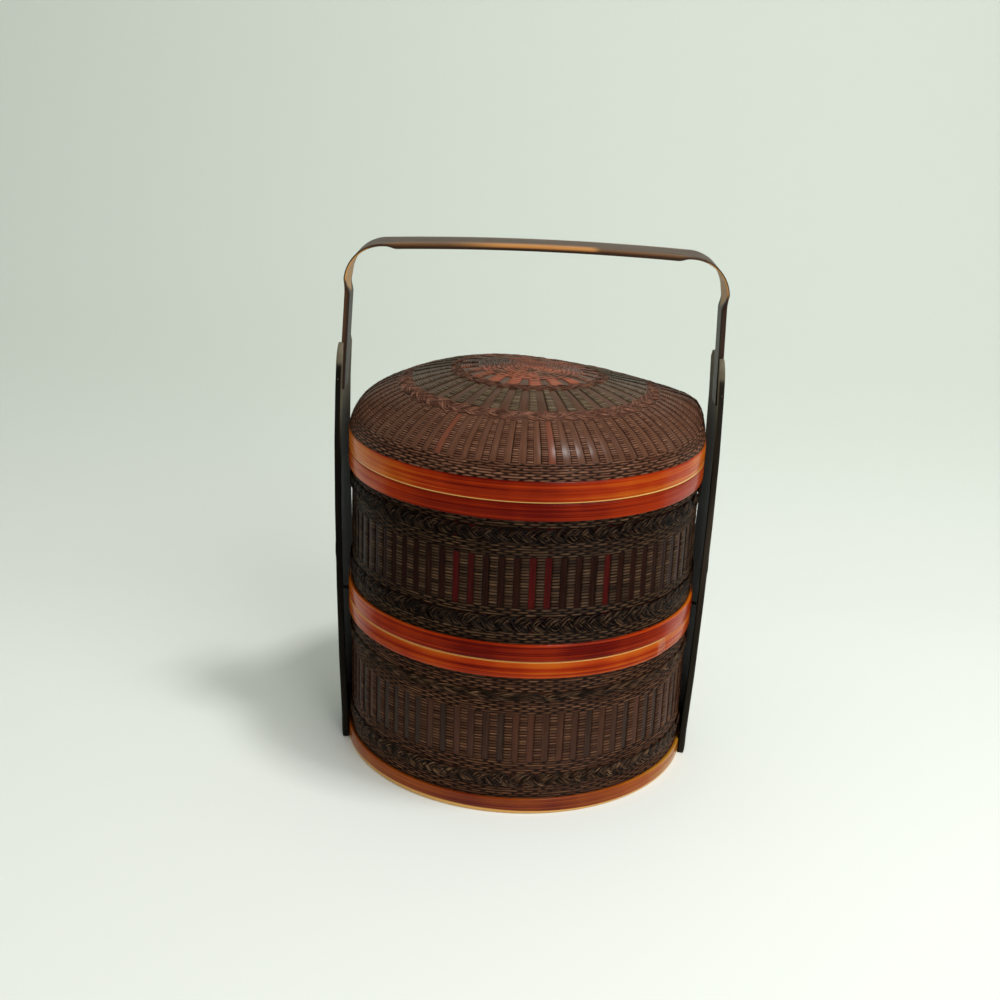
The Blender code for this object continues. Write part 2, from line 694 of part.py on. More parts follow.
def handle_outline():
    """Draw the handle from the front: thin bends, thicker grip and legs."""
    outer = leg_outer_reach()
    bottom = SLOT_BOTTOM + REST_GAP
    leaned = outer - LEG_LEAN
    bend = (leaned - BEND_RADIUS, HANDLE_SHOULDER_HEIGHT - BEND_RADIUS)
    pad = bend[0] - GRIP_PAD_INSET
    upper = [(outer, bottom)]
    upper += arc(bend, BEND_RADIUS, 0.0, 90.0, BEND_STEPS)
    for step in range(GRIP_STEPS - 1, 0, -1):
        across = bend[0] * step / GRIP_STEPS
        upper.append((across, handle_line(across)))
    lower = []
    for step in range(GRIP_STEPS - 1):
        across = pad * (step + 1) / (GRIP_STEPS - 1)
        lower.append((across, handle_line(across) - GRIP_THICKNESS))
    thin_start = pad + THINNING_LENGTH
    lower.append((thin_start, handle_line(thin_start) - BEND_THICKNESS))
    lower += arc(bend, BEND_RADIUS - BEND_THICKNESS, 90.0, 0.0, BEND_STEPS)
    lower.append((leaned - BEND_THICKNESS, LEG_SHAVE_HEIGHT + THINNING_LENGTH))
    shave_share = (LEG_SHAVE_HEIGHT - bottom) / (bend[1] - bottom)
    shave = outer - LEG_LEAN * shave_share
    lower.append((shave - LEG_THICKNESS, LEG_SHAVE_HEIGHT))
    lower.append((outer - LEG_THICKNESS, bottom))
    upper_left = [(-across, along) for across, along in reversed(upper)]
    lower_left = [(-across, along) for across, along in reversed(lower)]
    crown = [(0.0, handle_line(0.0))]
    palm = [(0.0, handle_line(0.0) - GRIP_THICKNESS)]
    return upper + crown + upper_left + lower_left + palm + lower


def build_handle():
    """Make the bent handle, wide over the grip and narrow at its legs."""
    upright = Matrix.Rotation(math.pi / 2, 4, "X")
    mesh = plate_mesh("handle_strip", handle_outline(), GRIP_WIDTH, upright)
    handle = add_part("handle_strip", mesh, "handle_bamboo")
    inner = LEG_WIDTH / 2
    outer = GRIP_WIDTH / 2 + CUT_OVERRUN
    corner = (inner + LEG_NECK_ROUNDING, LEG_NECK_HEIGHT - LEG_NECK_ROUNDING)
    outline = [(outer, SLOT_BOTTOM), (outer, LEG_NECK_HEIGHT)]
    outline += arc(corner, LEG_NECK_ROUNDING, 90.0, 180.0, ROUNDING_STEPS)
    outline.append((inner, SLOT_BOTTOM))
    length = 2 * (leg_outer_reach() + CUT_OVERRUN)
    for number, side in enumerate((-1, 1), start=1):
        name = f"leg_trim_{number}"
        cutter = add_cutter(name, plate_mesh(name, outline, length, facing_side(side)))
        cut(handle, cutter)
    return handle


def build_leg_peg(name, side, post, handle):
    """Make the thin peg that holds a leg in its fork, and its hole."""
    reach = POST_TOP_WIDTH / 2 + LEG_PEG_PROUD
    add_part(name, leg_peg_mesh(name, side, LEG_PEG_RADIUS, reach), "peg_bamboo")
    hole_name = name + "_hole"
    hole_radius = LEG_PEG_RADIUS + REST_GAP
    hole = add_cutter(hole_name, leg_peg_mesh(hole_name, side, hole_radius, reach + CUT_OVERRUN))
    cut(post, hole)
    cut(handle, hole)


def build_post_peg(name, side, height, post, hoop):
    """Make the headed peg that holds a post to a hoop, and its hole."""
    add_part(name, post_peg_mesh(name, side, height, 0.0, 0.0), "peg_bamboo")
    hole_name = name + "_hole"
    overrun = WALL_THICKNESS
    hole = add_cutter(hole_name, post_peg_mesh(hole_name, side, height, REST_GAP, overrun))
    cut(post, hole)
    cut(hoop, hole)


def build_carrier(hoops):
    """Make the posts, the handle and the pegs that join them."""
    foot_hoop, rim_hoop = hoops
    shell = post_shell()
    handle = build_handle()
    foot_height = LOWER_FOOT_HOOP_HEIGHT / 2
    rim_height = LOWER_TIER_HEIGHT - LOWER_RIM_HOOP_HEIGHT / 2
    for label, side in (("left", -1), ("right", 1)):
        post = build_post(label + "_post", side, shell)
        build_leg_peg(label + "_leg_peg", side, post, handle)
        build_post_peg(label + "_foot_peg", side, foot_height, post, foot_hoop)
        build_post_peg(label + "_rim_peg", side, rim_height, post, rim_hoop)


def main():
    """Build the basket."""
    hoops = build_lower_tier()
    build_carrier(hoops)
    upper_origin = lift_origin("upper_tier_origin", UPPER_TIER_BASE)
    build_upper_tier(upper_origin)
    lid_origin = lift_origin("lid_origin", LID_BASE, upper_origin)
    build_lid(lid_origin)
    shade_parts()
    bpy.context.view_layer.update()


clear_scene()
PARTS = new_collection(OBJECT_NAME)
CUTTERS = new_collection("cutters")
MATERIALS = {name: make_finish(name) for name in FINISHES}
main()
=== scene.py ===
"""Tiered bamboo food basket: the fine surface of every piece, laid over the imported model.

Metres, +Z up. The handle runs along X and the front faces -Y.
"""
import math

import bmesh
import bpy
import numpy as np
from mathutils import Matrix, Vector


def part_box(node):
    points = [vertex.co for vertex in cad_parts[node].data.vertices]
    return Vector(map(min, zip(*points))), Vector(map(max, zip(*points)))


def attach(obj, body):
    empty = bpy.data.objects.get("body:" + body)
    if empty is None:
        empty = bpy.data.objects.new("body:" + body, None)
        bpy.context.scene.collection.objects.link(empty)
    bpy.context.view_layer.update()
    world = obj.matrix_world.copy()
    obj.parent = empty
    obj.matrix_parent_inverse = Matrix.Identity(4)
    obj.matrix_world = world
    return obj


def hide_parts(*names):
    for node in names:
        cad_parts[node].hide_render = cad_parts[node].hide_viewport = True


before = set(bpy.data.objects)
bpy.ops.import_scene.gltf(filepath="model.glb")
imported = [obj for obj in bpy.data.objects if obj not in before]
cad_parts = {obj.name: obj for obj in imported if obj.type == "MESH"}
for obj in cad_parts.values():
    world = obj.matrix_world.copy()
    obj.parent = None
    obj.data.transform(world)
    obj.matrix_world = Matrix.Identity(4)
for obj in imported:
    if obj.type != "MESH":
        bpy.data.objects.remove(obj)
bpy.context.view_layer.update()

bl_info = {
    "name": "Tiered bamboo food basket",
    "version": (1, 0, 0),
    "blender": (4, 5, 0),
    "location": "3D View > Sidebar > Basket",
    "description": "Weaves, hoops and carries a two-tier bamboo food basket",
    "category": "Add Mesh",
}

MM = 0.001
TURN = math.tau

# Every finish by its name, filled by the first step
MATERIALS = {}

# Sections of the splints, as shares of half their width and of their thickness
ROW_SECTION = ((-1.0, -0.45), (-0.45, 0.5), (0.45, 0.5), (1.0, -0.45))
UNIT_REACH = 0.1
STEPS_A_PITCH = 8
COLUMN_SAMPLES = (0.0, 0.125, 0.25, 0.375, 0.5)
COLUMN_LIFT = (1.0, 0.98, 0.80, -1.0, -1.0)
STAKE_THICKNESS = 0.5 * MM
WEFT_THICKNESS = 0.7 * MM
WEFT_HIGH = 0.55 * MM
WEFT_LOW = -0.95 * MM
PLAIT_THICKNESS = 0.6 * MM

# Heights and places that the solids don't carry
TIER_STAKES = {"lower_tier": (0.0424, 0.0825), "upper_tier": (0.1668, 0.2060)}
TIER_PHASE = {"lower_tier": 0.375, "upper_tier": 0.0}
STAKE_SET_BACK = 0.9 * MM
LINING_DEPTHS = (1.35 * MM, 2.3 * MM)
LID_EDGE = 6.0 * MM
LID_FINE_BAND = 12.5 * MM
ROSETTE_HOLE = 6.0 * MM
ROSETTE_RAYS = 41.0 * MM
DOME_SETTLING = (
    (0.048, 0.055, 0.064, -0.0060, 0.050),
    (-0.070, 0.045, 0.040, 0.0014, 0.050),
    (0.130, 0.010, 0.034, 0.0075, 0.014),
    (0.139, 0.000, 0.018, 0.0060, 0.008),
    (-0.125, 0.015, 0.034, 0.0036, 0.014))
SEAM = 0.01 * MM
HOOP_STEPS = 192

# The carrier's sizes, which its solids have too
HANDLE_LEAN = {-1: 4.8 * MM, 1: 2.4 * MM}
HANDLE_FOOT_SHIFT = {-1: 0.8 * MM, 1: 0.0}
HANDLE_BEND = 30.0 * MM
HANDLE_RISE = 0.003
LEG_HALF = 0.01125
GRIP_HALF = 0.0210
NECK_DROP = 0.0275 + 0.010
SHAVE_DROP = 0.0400
PAD_START = 0.1175
PAD_END = 0.1085
THIN_STRIP = 0.0018
LEG_EXTRA = 0.0024
PAD_EXTRA = 0.0020
POST_RADIUS = 0.1410
POST_BOW = 0.0058
POST_FOOT_HALF = 0.0360
POST_TOP_HALF = 0.0260
POST_THICKNESS = 0.005
POST_JOINT = 0.162
POST_ROWS = 58
SLOT_ROWS = 12
SLOT_DEPTH = 0.038
SLOT_HALF = 0.01155
EAR_FLAT = 0.0200
EAR_RADIUS = 0.006
EAR_HEIGHT = 0.012
POST_BOW_SHARES = (
    (0.0, 0.0), (0.05, 0.04), (0.2, 0.42), (0.4, 0.74), (0.6, 0.95), (0.77, 1.0),
    (0.9, 0.86), (1.0, 0.66))

# The stage, and where the photograph was taken from
SWEEP_HALF_WIDTH = 4.0
SWEEP_START = 0.30
SWEEP_RADIUS = 0.8
SWEEP_TOP = 3.5
SWEEP_DROP = 0.3 * MM
LAMP_AIM = Vector((0.0, 0.0, 0.2))
CAMERA_PLACE = (-0.0194, -1.0052, 0.5455)
CAMERA_RIGHT = (0.99919, 0.01305, 0.03813)
CAMERA_UP = (-0.0403, 0.32344, 0.94534)
CAMERA_BACK = (0.0, -0.94615, 0.32373)
CAMERA_TURN = math.radians(1.0)
CAMERA_LENS = 47.38
SENSOR_WIDTH = 36.0

# Tones of the stakes that show in front: dark below 0.55, red above
STAKE_TONES = {
    "lower_tier": (),
    "upper_tier": (
        (53, 0.85), (54, 0.62), (56, 0.50), (57, 0.56), (58, 0.80), (59, 1.0),
        (63, 0.68), (70, 0.6), (2, 0.65), (3, 0.9), (10, 0.6), (19, 0.9), (20, 0.6), (31, 0.7),
        (37, 0.6), (38, 0.9), (45, 0.6))}
LID_TONES = ((53, 0.87), (61, 0.87), (12, 0.86), (30, 0.88))


def length_property(name, description, value):
    """Declare a length that the panel shows."""
    return bpy.props.FloatProperty(
        name=name, description=description, default=value, subtype="DISTANCE", unit="LENGTH")


def count_property(name, description, value):
    """Declare a number of splints that the panel shows."""
    return bpy.props.IntProperty(
        name=name, description=description, default=value, min=12, max=160)


def colour_property(name, description, value):
    """Declare a colour that the panel shows."""
    return bpy.props.FloatVectorProperty(
        name=name, description=description, default=value, size=3, min=0.0, max=1.0,
        subtype="COLOR")


class BasketSizes(bpy.types.PropertyGroup):
    """Sizes of the splints and of how they are worked."""

    stake_count: count_property("Stakes", "Stakes that show round a tier", 77)
    lid_stake_count: count_property("Lid stakes", "Stakes that show round the shoulder", 80)
    crown_stake_count: count_property("Crown stakes", "Stakes that show round the crown", 40)
    stake_width: length_property("Stake width", "Width of a stake", 0.0058)
    fine_pitch: length_property("Fine rows", "Height of one fine weft row", 0.0019)
    column_pitch: length_property("Column rows", "Height of a row between the stakes", 0.0023)
    lid_pitch: length_property("Lid rows", "Height of one weft row of the lid", 0.0019)
    weave_radius: length_property("Weave radius", "From the axis to the stakes", 0.1370)
    plait_period: length_property("Plait period", "Length in which strands repeat", 0.0205)
    floor_strip: length_property("Floor strips", "Spacing of a floor's strips", 0.0122)


class BasketColours(bpy.types.PropertyGroup):
    """Colours of the finishes."""

    weft_dark: colour_property("Weft", "Stained weft in its hollows", (0.013, 0.0046, 0.0020))
    # The worn colour of the weft is also the colour of its painted highlights along the crests.
    weft_wear_and_glint: colour_property("Weft crest", "Weft where it is rubbed", (0.190, 0.105, 0.052))
    stake_dark: colour_property("Stake", "Stained stake", (0.017, 0.0045, 0.0026))
    stake_red: colour_property("Red stake", "Red stained stake", (0.052, 0.0022, 0.0018))
    lid_dark: colour_property("Lid weft", "Lid weft in its hollows", (0.058, 0.019, 0.009))
    # The worn colour of the lid weft is also the colour of its painted highlights along the
    # crests.
    lid_wear_and_glint: colour_property("Lid crest", "Lid weft where it is rubbed", (0.340, 0.165, 0.095))
    lid_stake: colour_property("Lid stake", "Lid stake", (0.088, 0.035, 0.018))
    crown_red: colour_property("Crown", "Reddish splints of the crown", (0.280, 0.072, 0.036))
    hoop_deep: colour_property("Hoop red", "Deepest red of the hoops", (0.105, 0.0030, 0.0005))
    hoop_warm: colour_property("Hoop orange", "Orange of the hoops", (0.315, 0.024, 0.0006))
    hoop_amber: colour_property("Hoop amber", "Amber of the hoops", (0.500, 0.122, 0.005))
    # Also the pale line along the lower rim hoop's top edge, where it is a painted reflection.
    bare: colour_property("Bare bamboo", "Bare bamboo along the edges", (0.800, 0.430, 0.120))
    inside: colour_property("Inside", "Aged bamboo inside the basket", (0.330, 0.170, 0.070))
    post_dark: colour_property("Post", "Stained post", (0.0055, 0.0042, 0.0028))
    post_pale: colour_property("Post inside", "Inner face of a post", (0.190, 0.160, 0.105))
    grip_brown: colour_property("Grip", "Stained handle", (0.085, 0.036, 0.015))
    grip_amber: colour_property("Worn grip", "Handle where hands wear it", (0.480, 0.200, 0.045))
    shaved: colour_property("Shaved bends", "Bare wood inside the bends", (0.640, 0.330, 0.100))
    floor: colour_property("Stage floor", "Floor of the stage", (0.825, 0.850, 0.800))
    backdrop: colour_property("Backdrop", "Backdrop of the stage", (0.655, 0.705, 0.635))


class Skin:
    """The surface that a weave's stakes lie in: a line of radii and heights, turned."""

    def __init__(self, radii, heights, start=0.0, wander=0.0, settle=None):
        self.radii = np.asarray(radii, float)
        self.heights = np.asarray(heights, float)
        steps = np.hypot(np.diff(self.radii), np.diff(self.heights))
        self.along = start + np.concatenate(([0.0], np.cumsum(steps)))
        rise = np.gradient(self.heights, self.along)
        spread = np.gradient(self.radii, self.along)
        length = np.hypot(rise, spread)
        self.out_radius = rise / length
        self.out_height = -spread / length
        self.wander = wander
        self.settle = settle

    def radius(self, along):
        """Give the distance from the axis at a distance along the skin."""
        return np.interp(along, self.along, self.radii)

    def at_radius(self, radius):
        """Give the distance along at which a dome's skin has a radius."""
        return float(np.interp(-radius, -self.radii, self.along))

    def place(self, angle, along, out):
        """Give the points at an angle, a distance along and a distance out from the skin."""
        share = (along - self.along[0]) / (self.along[-1] - self.along[0])
        window = np.sin(np.pi * np.clip(share, 0.0, 1.0))
        sway = 0.6 * np.sin(2 * angle + 0.7) + 0.4 * np.sin(5 * angle + 2.1)
        sway = sway + 0.25 * np.sin(11 * angle + 4.0 + 9.0 * share)
        along = along + self.wander * window * sway
        radius = np.interp(along, self.along, self.radii)
        radius = radius + out * np.interp(along, self.along, self.out_radius)
        height = np.interp(along, self.along, self.heights)
        height = height + out * np.interp(along, self.along, self.out_height)
        across = radius * np.cos(angle)
        depth = radius * np.sin(angle)
        if self.settle is not None:
            height = height + self.settle(across, depth, height)
        return np.stack((across, depth, height), axis=-1)


# Meshes

def read_points(mesh):
    """Read a mesh's points as rows of three numbers."""
    flat = np.zeros(len(mesh.vertices) * 3, np.float32)
    mesh.vertices.foreach_get("co", flat)
    return flat.reshape(-1, 3).astype(float)


def write_points(mesh, points):
    """Move a mesh's points."""
    mesh.vertices.foreach_set("co", np.ascontiguousarray(points, np.float32).ravel())
    mesh.update()


def read_layer(mesh, name):
    """Read one number a point, and drop the layer that held it."""
    layer = mesh.attributes[name]
    values = np.zeros(len(mesh.vertices), np.float32)
    layer.data.foreach_get("value", values)
    mesh.attributes.remove(layer)
    return values.astype(float)


def write_layer(mesh, name, values):
    """Keep one number, or three numbers, a point for the materials to read."""
    values = np.ascontiguousarray(values, np.float32)
    if values.ndim == 2:
        layer = mesh.attributes.new(name, "FLOAT_VECTOR", "POINT")
        layer.data.foreach_set("vector", values.ravel())
    else:
        layer = mesh.attributes.new(name, "FLOAT", "POINT")
        layer.data.foreach_set("value", values)


def mark_fibres(mesh, along, across, seed, tone, crest):
    """Keep what the materials read: place along and across the fibres, tone, and the crest, which
    the finishes use for shaved ears and for painted highlights and painted shade.
    """
    count = len(mesh.vertices)
    strand = np.zeros((count, 3))
    strand[:, 0] = along
    strand[:, 1] = across
    strand[:, 2] = seed
    write_layer(mesh, "strand", strand)
    write_layer(mesh, "tone", np.clip(np.zeros(count) + tone, 0.0, 1.0))
    write_layer(mesh, "crest", np.clip(np.zeros(count) + crest, 0.0, 1.0))


def to_mesh(name, shape):
    """Turn a bmesh into a mesh."""
    bmesh.ops.recalc_face_normals(shape, faces=shape.faces)
    mesh = bpy.data.meshes.new(name)
    shape.to_mesh(mesh)
    shape.free()
    return mesh


def add_object(name, data):
    """Put a mesh, a lamp or a camera in the scene."""
    thing = bpy.data.objects.new(name, data)
    bpy.context.scene.collection.objects.link(thing)
    return thing


def add_piece(mesh, material, body, replaced, corner=50.0):
    """Put a finished mesh in the scene, riding on its body."""
    mesh.shade_smooth()
    mesh.set_sharp_from_angle(angle=math.radians(corner))
    mesh.materials.append(material)
    piece = add_object(mesh.name, mesh)
    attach(piece, body)
    if replaced:
        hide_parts(*replaced)


def bar(along_cuts, across_cuts=0):
    """Make a closed bar, 0 to 1 along X, -1 to 1 across Y and -1 to 1 through Z."""
    shape = bmesh.new()
    bmesh.ops.create_cube(shape, size=2.0)
    for axis, cuts in ((0, along_cuts), (1, across_cuts)):
        if cuts:
            edges = [
                edge for edge in shape.edges
                if abs((edge.verts[0].co - edge.verts[1].co)[axis]) > 0.001]
            bmesh.ops.subdivide_edges(shape, edges=edges, cuts=cuts, use_grid_fill=True)
    for corner in shape.verts:
        corner.co.x = (corner.co.x + 1.0) / 2
    return shape


def soften(shape, width, segments=2, corner=50.0):
    """Round the sharp edges of a shape."""
    shape.normal_update()
    edges = [
        edge for edge in shape.edges
        if len(edge.link_faces) == 2 and edge.calc_face_angle(0.0) > math.radians(corner)]
    bmesh.ops.bevel(
        shape, geom=edges, offset=width, segments=segments, profile=0.5, affect="EDGES",
        material=-1, clamp_overlap=True)


def turn_outline(points, steps, closed):
    """Turn an outline of radii and heights about the axis, starting from its left side."""
    shape = bmesh.new()
    corners = [shape.verts.new((-radius, 0.0, height)) for radius, height in points]
    pairs = list(zip(corners, corners[1:]))
    if closed:
        pairs.append((corners[-1], corners[0]))
    edges = [shape.edges.new(pair) for pair in pairs]
    bmesh.ops.spin(
        shape, geom=corners + edges, cent=(0.0, 0.0, 0.0), axis=(0.0, 0.0, 1.0), angle=TURN,
        steps=steps, use_merge=True)
    return shape


def angle_of(points):
    """Give each point's angle about the axis, from the left side round through the front."""
    return np.mod(np.arctan2(points[:, 1], points[:, 0]) - np.pi, TURN) + np.pi


# Weaving

def spin_section(steps):
    """Spin one closed unit section about the axis."""
    points = [(1.0 + UNIT_REACH * out, UNIT_REACH * across) for across, out in ROW_SECTION]
    return to_mesh("section", turn_outline(points, steps, closed=True))


def repeat_section(name, count, steps):
    """Join copies of the spun section, and read where each of their points stands.

    Gives the mesh and every point's copy, angle, place across and place out.
    """
    ring = spin_section(steps)
    whole = bmesh.new()
    for _copy in range(count):
        whole.from_mesh(ring)
    bpy.data.meshes.remove(ring)
    mesh = bpy.data.meshes.new(name)
    whole.to_mesh(mesh)
    whole.free()
    points = read_points(mesh)
    number = np.arange(len(points)) // (len(points) // count)
    out = (np.hypot(points[:, 0], points[:, 1]) - 1.0) / UNIT_REACH
    return mesh, number, angle_of(points), points[:, 2] / UNIT_REACH, out


def drift(draw, number, angle, knots):
    """Give each point a random value that changes smoothly round its own row."""
    values = draw.normal(0.0, 1.0, (number.max() + 1, knots))
    place = np.mod(angle / TURN, 1.0) * knots
    low = np.floor(place).astype(int) % knots
    share = place - np.floor(place)
    share = share * share * (3.0 - 2.0 * share)
    return values[number, low] * (1.0 - share) + values[number, (low + 1) % knots] * share


def stack_rows(*bands):
    """Give evenly spaced rows for bands of a start and an end along a skin, a pitch and a kind."""
    rows = []
    for bottom, top, pitch, column in bands:
        count = max(1, round((top - bottom) / pitch))
        height = (top - bottom) / count
        for step in range(count):
            middle = bottom + (step + 0.5) * height
            rows.append((middle, height / 2, column, len(rows) % 2))
    return rows


def weave(name, skin, rows, pitches, phase, reach, seed):
    """Spin every weft row round the basket, then wave it over and under the stakes.

    Rows are either columns, which dive behind the stakes that show, or fine rows with long
    floats. The phase places the columns, and the reach is half their share of a pitch.
    """
    mesh, number, angle, across, out = repeat_section(
        name, len(rows), pitches * STEPS_A_PITCH)
    draw = np.random.default_rng(seed)
    middle, half, column, odd = (np.array(values)[number] for values in zip(*rows))
    column = column > 0
    turn = angle / TURN * pitches - phase
    nearest = np.floor(turn + 0.5)
    offset = turn - nearest
    place = np.mod(nearest, pitches).astype(int)
    kinds = (len(rows), pitches)
    stops = (0.0, 0.5 * reach, 0.84 * reach, reach, 0.5)
    spread = np.interp(np.abs(offset), COLUMN_SAMPLES, stops)
    shifted = np.where(column, np.sign(offset) * spread - offset, 0.0)
    lift = np.interp(np.abs(offset), COLUMN_SAMPLES, COLUMN_LIFT)
    aside = np.mod(turn + 0.5 * odd, 1.0) - 0.5
    dip = np.exp(-(aside / 0.14) ** 2) * (draw.random(kinds) > 0.22)[number, place]
    rung = draw.normal(0.0, 1.0, (*kinds, 4))[number, place]
    sway = drift(draw, number, angle, 3 * pitches)
    swell = drift(draw, number, angle, 2 * pitches + 7)
    level = np.where(
        column, WEFT_LOW + (WEFT_HIGH - WEFT_LOW) * (lift + 1.0) / 2 + 0.07 * MM * rung[:, 0],
        WEFT_HIGH - (0.34 * dip - 0.05 * swell) * MM)
    slip = np.where(column, 0.09 * rung[:, 1] * np.clip(lift, 0.0, 1.0), 0.10 * sway) * MM
    width = 1.0 + np.where(column, 0.05 * rung[:, 2], 0.09 * swell)
    tilt = np.where(column, 0.10 * rung[:, 3], 0.12 * sway) * half * across
    sideways = across * half * np.clip(width, 0.7, 1.12)
    raised = level + out * WEFT_THICKNESS + tilt
    new_angle = angle + shifted * TURN / pitches
    write_points(mesh, skin.place(new_angle, middle + sideways + slip, raised))
    splint = draw.random((len(rows), 2))[number]
    spot = np.where(column, draw.random(kinds)[number, place], 0.5 + 0.3 * sway)
    tone = 0.25 * splint[:, 0] + 0.3 * (0.5 + 0.35 * drift(draw, number, angle, 24)) + 0.45 * spot
    # The crest is high on a splint's top and low where it dives and at its edges; the finish
    # paints highlights where it is high and shade where it is low.
    crest = np.where(column, np.clip((lift + 0.6) / 1.6, 0.0, 1.0), 1.0 - 0.8 * dip)
    crest = crest * (1.0 - 0.75 * across ** 2)
    mark_fibres(
        mesh, skin.radius(middle) * angle, sideways, splint[:, 1] * 7.0 + number * 0.37, tone,
        crest)
    return mesh


def lay_stakes(name, skin, start, end, count, phase, width, share, cuts, seed, tones):
    """Lay flat stakes side by side along a skin, and give each a tone of its own."""
    shape = bar(cuts, 2)
    keys = [shape.verts.layers.float.new(label) for label in ("along", "across", "out")]
    middle_angle = math.pi + phase * TURN / count
    for corner in shape.verts:
        along = start + (end - start) * corner.co.x
        values = (along, corner.co.y, corner.co.z)
        for key, value in zip(keys, values):
            corner[key] = value
        near = middle_angle + corner.co.y * 0.3 * share * TURN / count
        corner.co = skin.place(near, along, corner.co.z * STAKE_THICKNESS / 2)
    bmesh.ops.spin(
        shape, geom=shape.verts[:] + shape.edges[:] + shape.faces[:], cent=(0.0, 0.0, 0.0),
        axis=(0.0, 0.0, 1.0), angle=TURN * (count - 1) / count, steps=count - 1,
        use_duplicate=True)
    mesh = to_mesh(name, shape)
    angle = angle_of(read_points(mesh))
    along, across, out = (read_layer(mesh, label) for label in ("along", "across", "out"))
    place = np.mod(np.rint((angle - middle_angle) / TURN * count), count).astype(int)
    draw = np.random.default_rng(seed)
    lean = draw.normal(0.0, 0.03, (count, 2))
    pitch = skin.radius(along) * TURN / count
    half = np.minimum(width / 2, share * pitch / 2) * draw.normal(1.0, 0.05, count)[place]
    share_along = (along - start) / (end - start)
    turned = lean[place, 0] + (lean[place, 1] - lean[place, 0]) * share_along
    new_angle = middle_angle + (place + turned) * TURN / count
    new_angle = new_angle + across * half / skin.radius(along)
    crown = 0.12 * MM * (1.0 - across ** 2) * (out > 0)
    raised = (out - 1.0) * STAKE_THICKNESS / 2 + crown
    raised = raised + draw.normal(0.0, 0.06 * MM, count)[place]
    raised = raised + across * half * draw.normal(0.0, 0.03, count)[place]
    write_points(mesh, skin.place(new_angle, along, raised))
    tone = 0.48 * draw.random(count)
    for index, value in tones:
        tone[index % count] = value
    mark_fibres(
        mesh, along, across * half, place * 0.61 + seed, tone[place], 0.5 + 0.5 * np.abs(across))
    return mesh


def plait(name, skin, middle, width, period, splints, lift, wild, swell, seed):
    """Plait three strands of fine splints into a band that lies on a skin.

    The swell is how far the strands rise and dive, and wild is how unevenly they run.
    """
    radius = float(skin.radius(middle))
    periods = max(8, round(radius * TURN / period))
    half = width * 0.20 / splints
    swing = width * 0.30
    mesh, number, angle, across, out = repeat_section(name, 3 * splints, periods * 14)
    draw = np.random.default_rng(seed)
    strand = number // splints
    beside = (number % splints - (splints - 1) / 2) * 2.0 * half
    phase = angle * periods + strand * TURN / 3
    phase = phase + 0.55 * wild * drift(draw, strand, angle, periods // 2)
    phase = phase + 0.28 * wild * drift(draw, number, angle, periods)
    reach = swing * (1.0 + 0.12 * wild * drift(draw, strand, angle, periods))
    reach = np.clip(reach, 0.0, 0.5 * width - half)
    drifted = 0.34 * wild * MM * drift(draw, number, angle, 2 * periods)
    rise = 0.24 * wild * MM * np.abs(drift(draw, number, angle, 2 * periods + 5))
    slope = np.arctan2(reach * np.cos(phase), period / TURN)
    sideways = beside + across * half * 1.08 + drifted
    new_angle = angle - sideways * np.sin(slope) / radius
    along = middle + reach * np.sin(phase) + sideways * np.cos(slope)
    height = np.sin(2.0 * phase)
    rounded = -0.35 * MM * (beside / (splints * half)) ** 2
    rise = np.minimum(rise, 0.6 * MM)
    raised = lift + out * PLAIT_THICKNESS + rise + rounded + swell * height
    write_points(mesh, skin.place(new_angle, along, raised))
    loose = draw.random(3 * splints)[number]
    tone = 0.4 * loose + 0.6 * (0.5 + 0.35 * drift(draw, number, angle, periods))
    # A random scatter of the crest, which places the finish's painted highlights and painted shade
    # along the strands.
    crest_scatter = 0.5 + 0.5 * drift(draw, number, angle, 3 * periods)
    crest = np.clip(0.35 + 0.35 * height + 0.5 * crest_scatter, 0.0, 1.0) * (1.0 - 0.7 * across ** 2)
    mark_fibres(mesh, radius * angle, across * half, number * 0.71 + seed, tone, crest)
    return mesh


def lining(name, points, steps):
    """Turn a closed wall section, or an open one that ends on the axis, about the axis."""
    shape = turn_outline(points, steps, points[0][0] > 0.0)
    bmesh.ops.remove_doubles(shape, verts=shape.verts, dist=SEAM)
    return to_mesh(name, shape)


def node_span(node_name):
    """Give a ring's outer radius, bottom and top, as its solid has them."""
    low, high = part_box(node_name)
    return high.x, low.z, high.z


def tier_skin(tier, sizes):
    """Make the skin of a tier's wall."""
    bottom, top = node_span(tier + "_wall")[1:]
    heights = np.linspace(bottom - 0.002, top + 0.002, 60)
    radii = np.full(60, sizes.weave_radius)
    return Skin(radii, heights, start=heights[0], wander=0.35 * MM)


def tier_zones(tier):
    """Give where a tier's braids, stake band and hoops start and end, from the bottom up."""
    foot_top = node_span(tier + "_foot_hoop")[2]
    low_start, low_end = node_span(tier + "_lower_braid")[1:]
    high_start, high_end = node_span(tier + "_upper_braid")[1:]
    rim_bottom = node_span(tier + "_rim_hoop")[1]
    return foot_top, low_start, low_end, high_start, high_end, rim_bottom


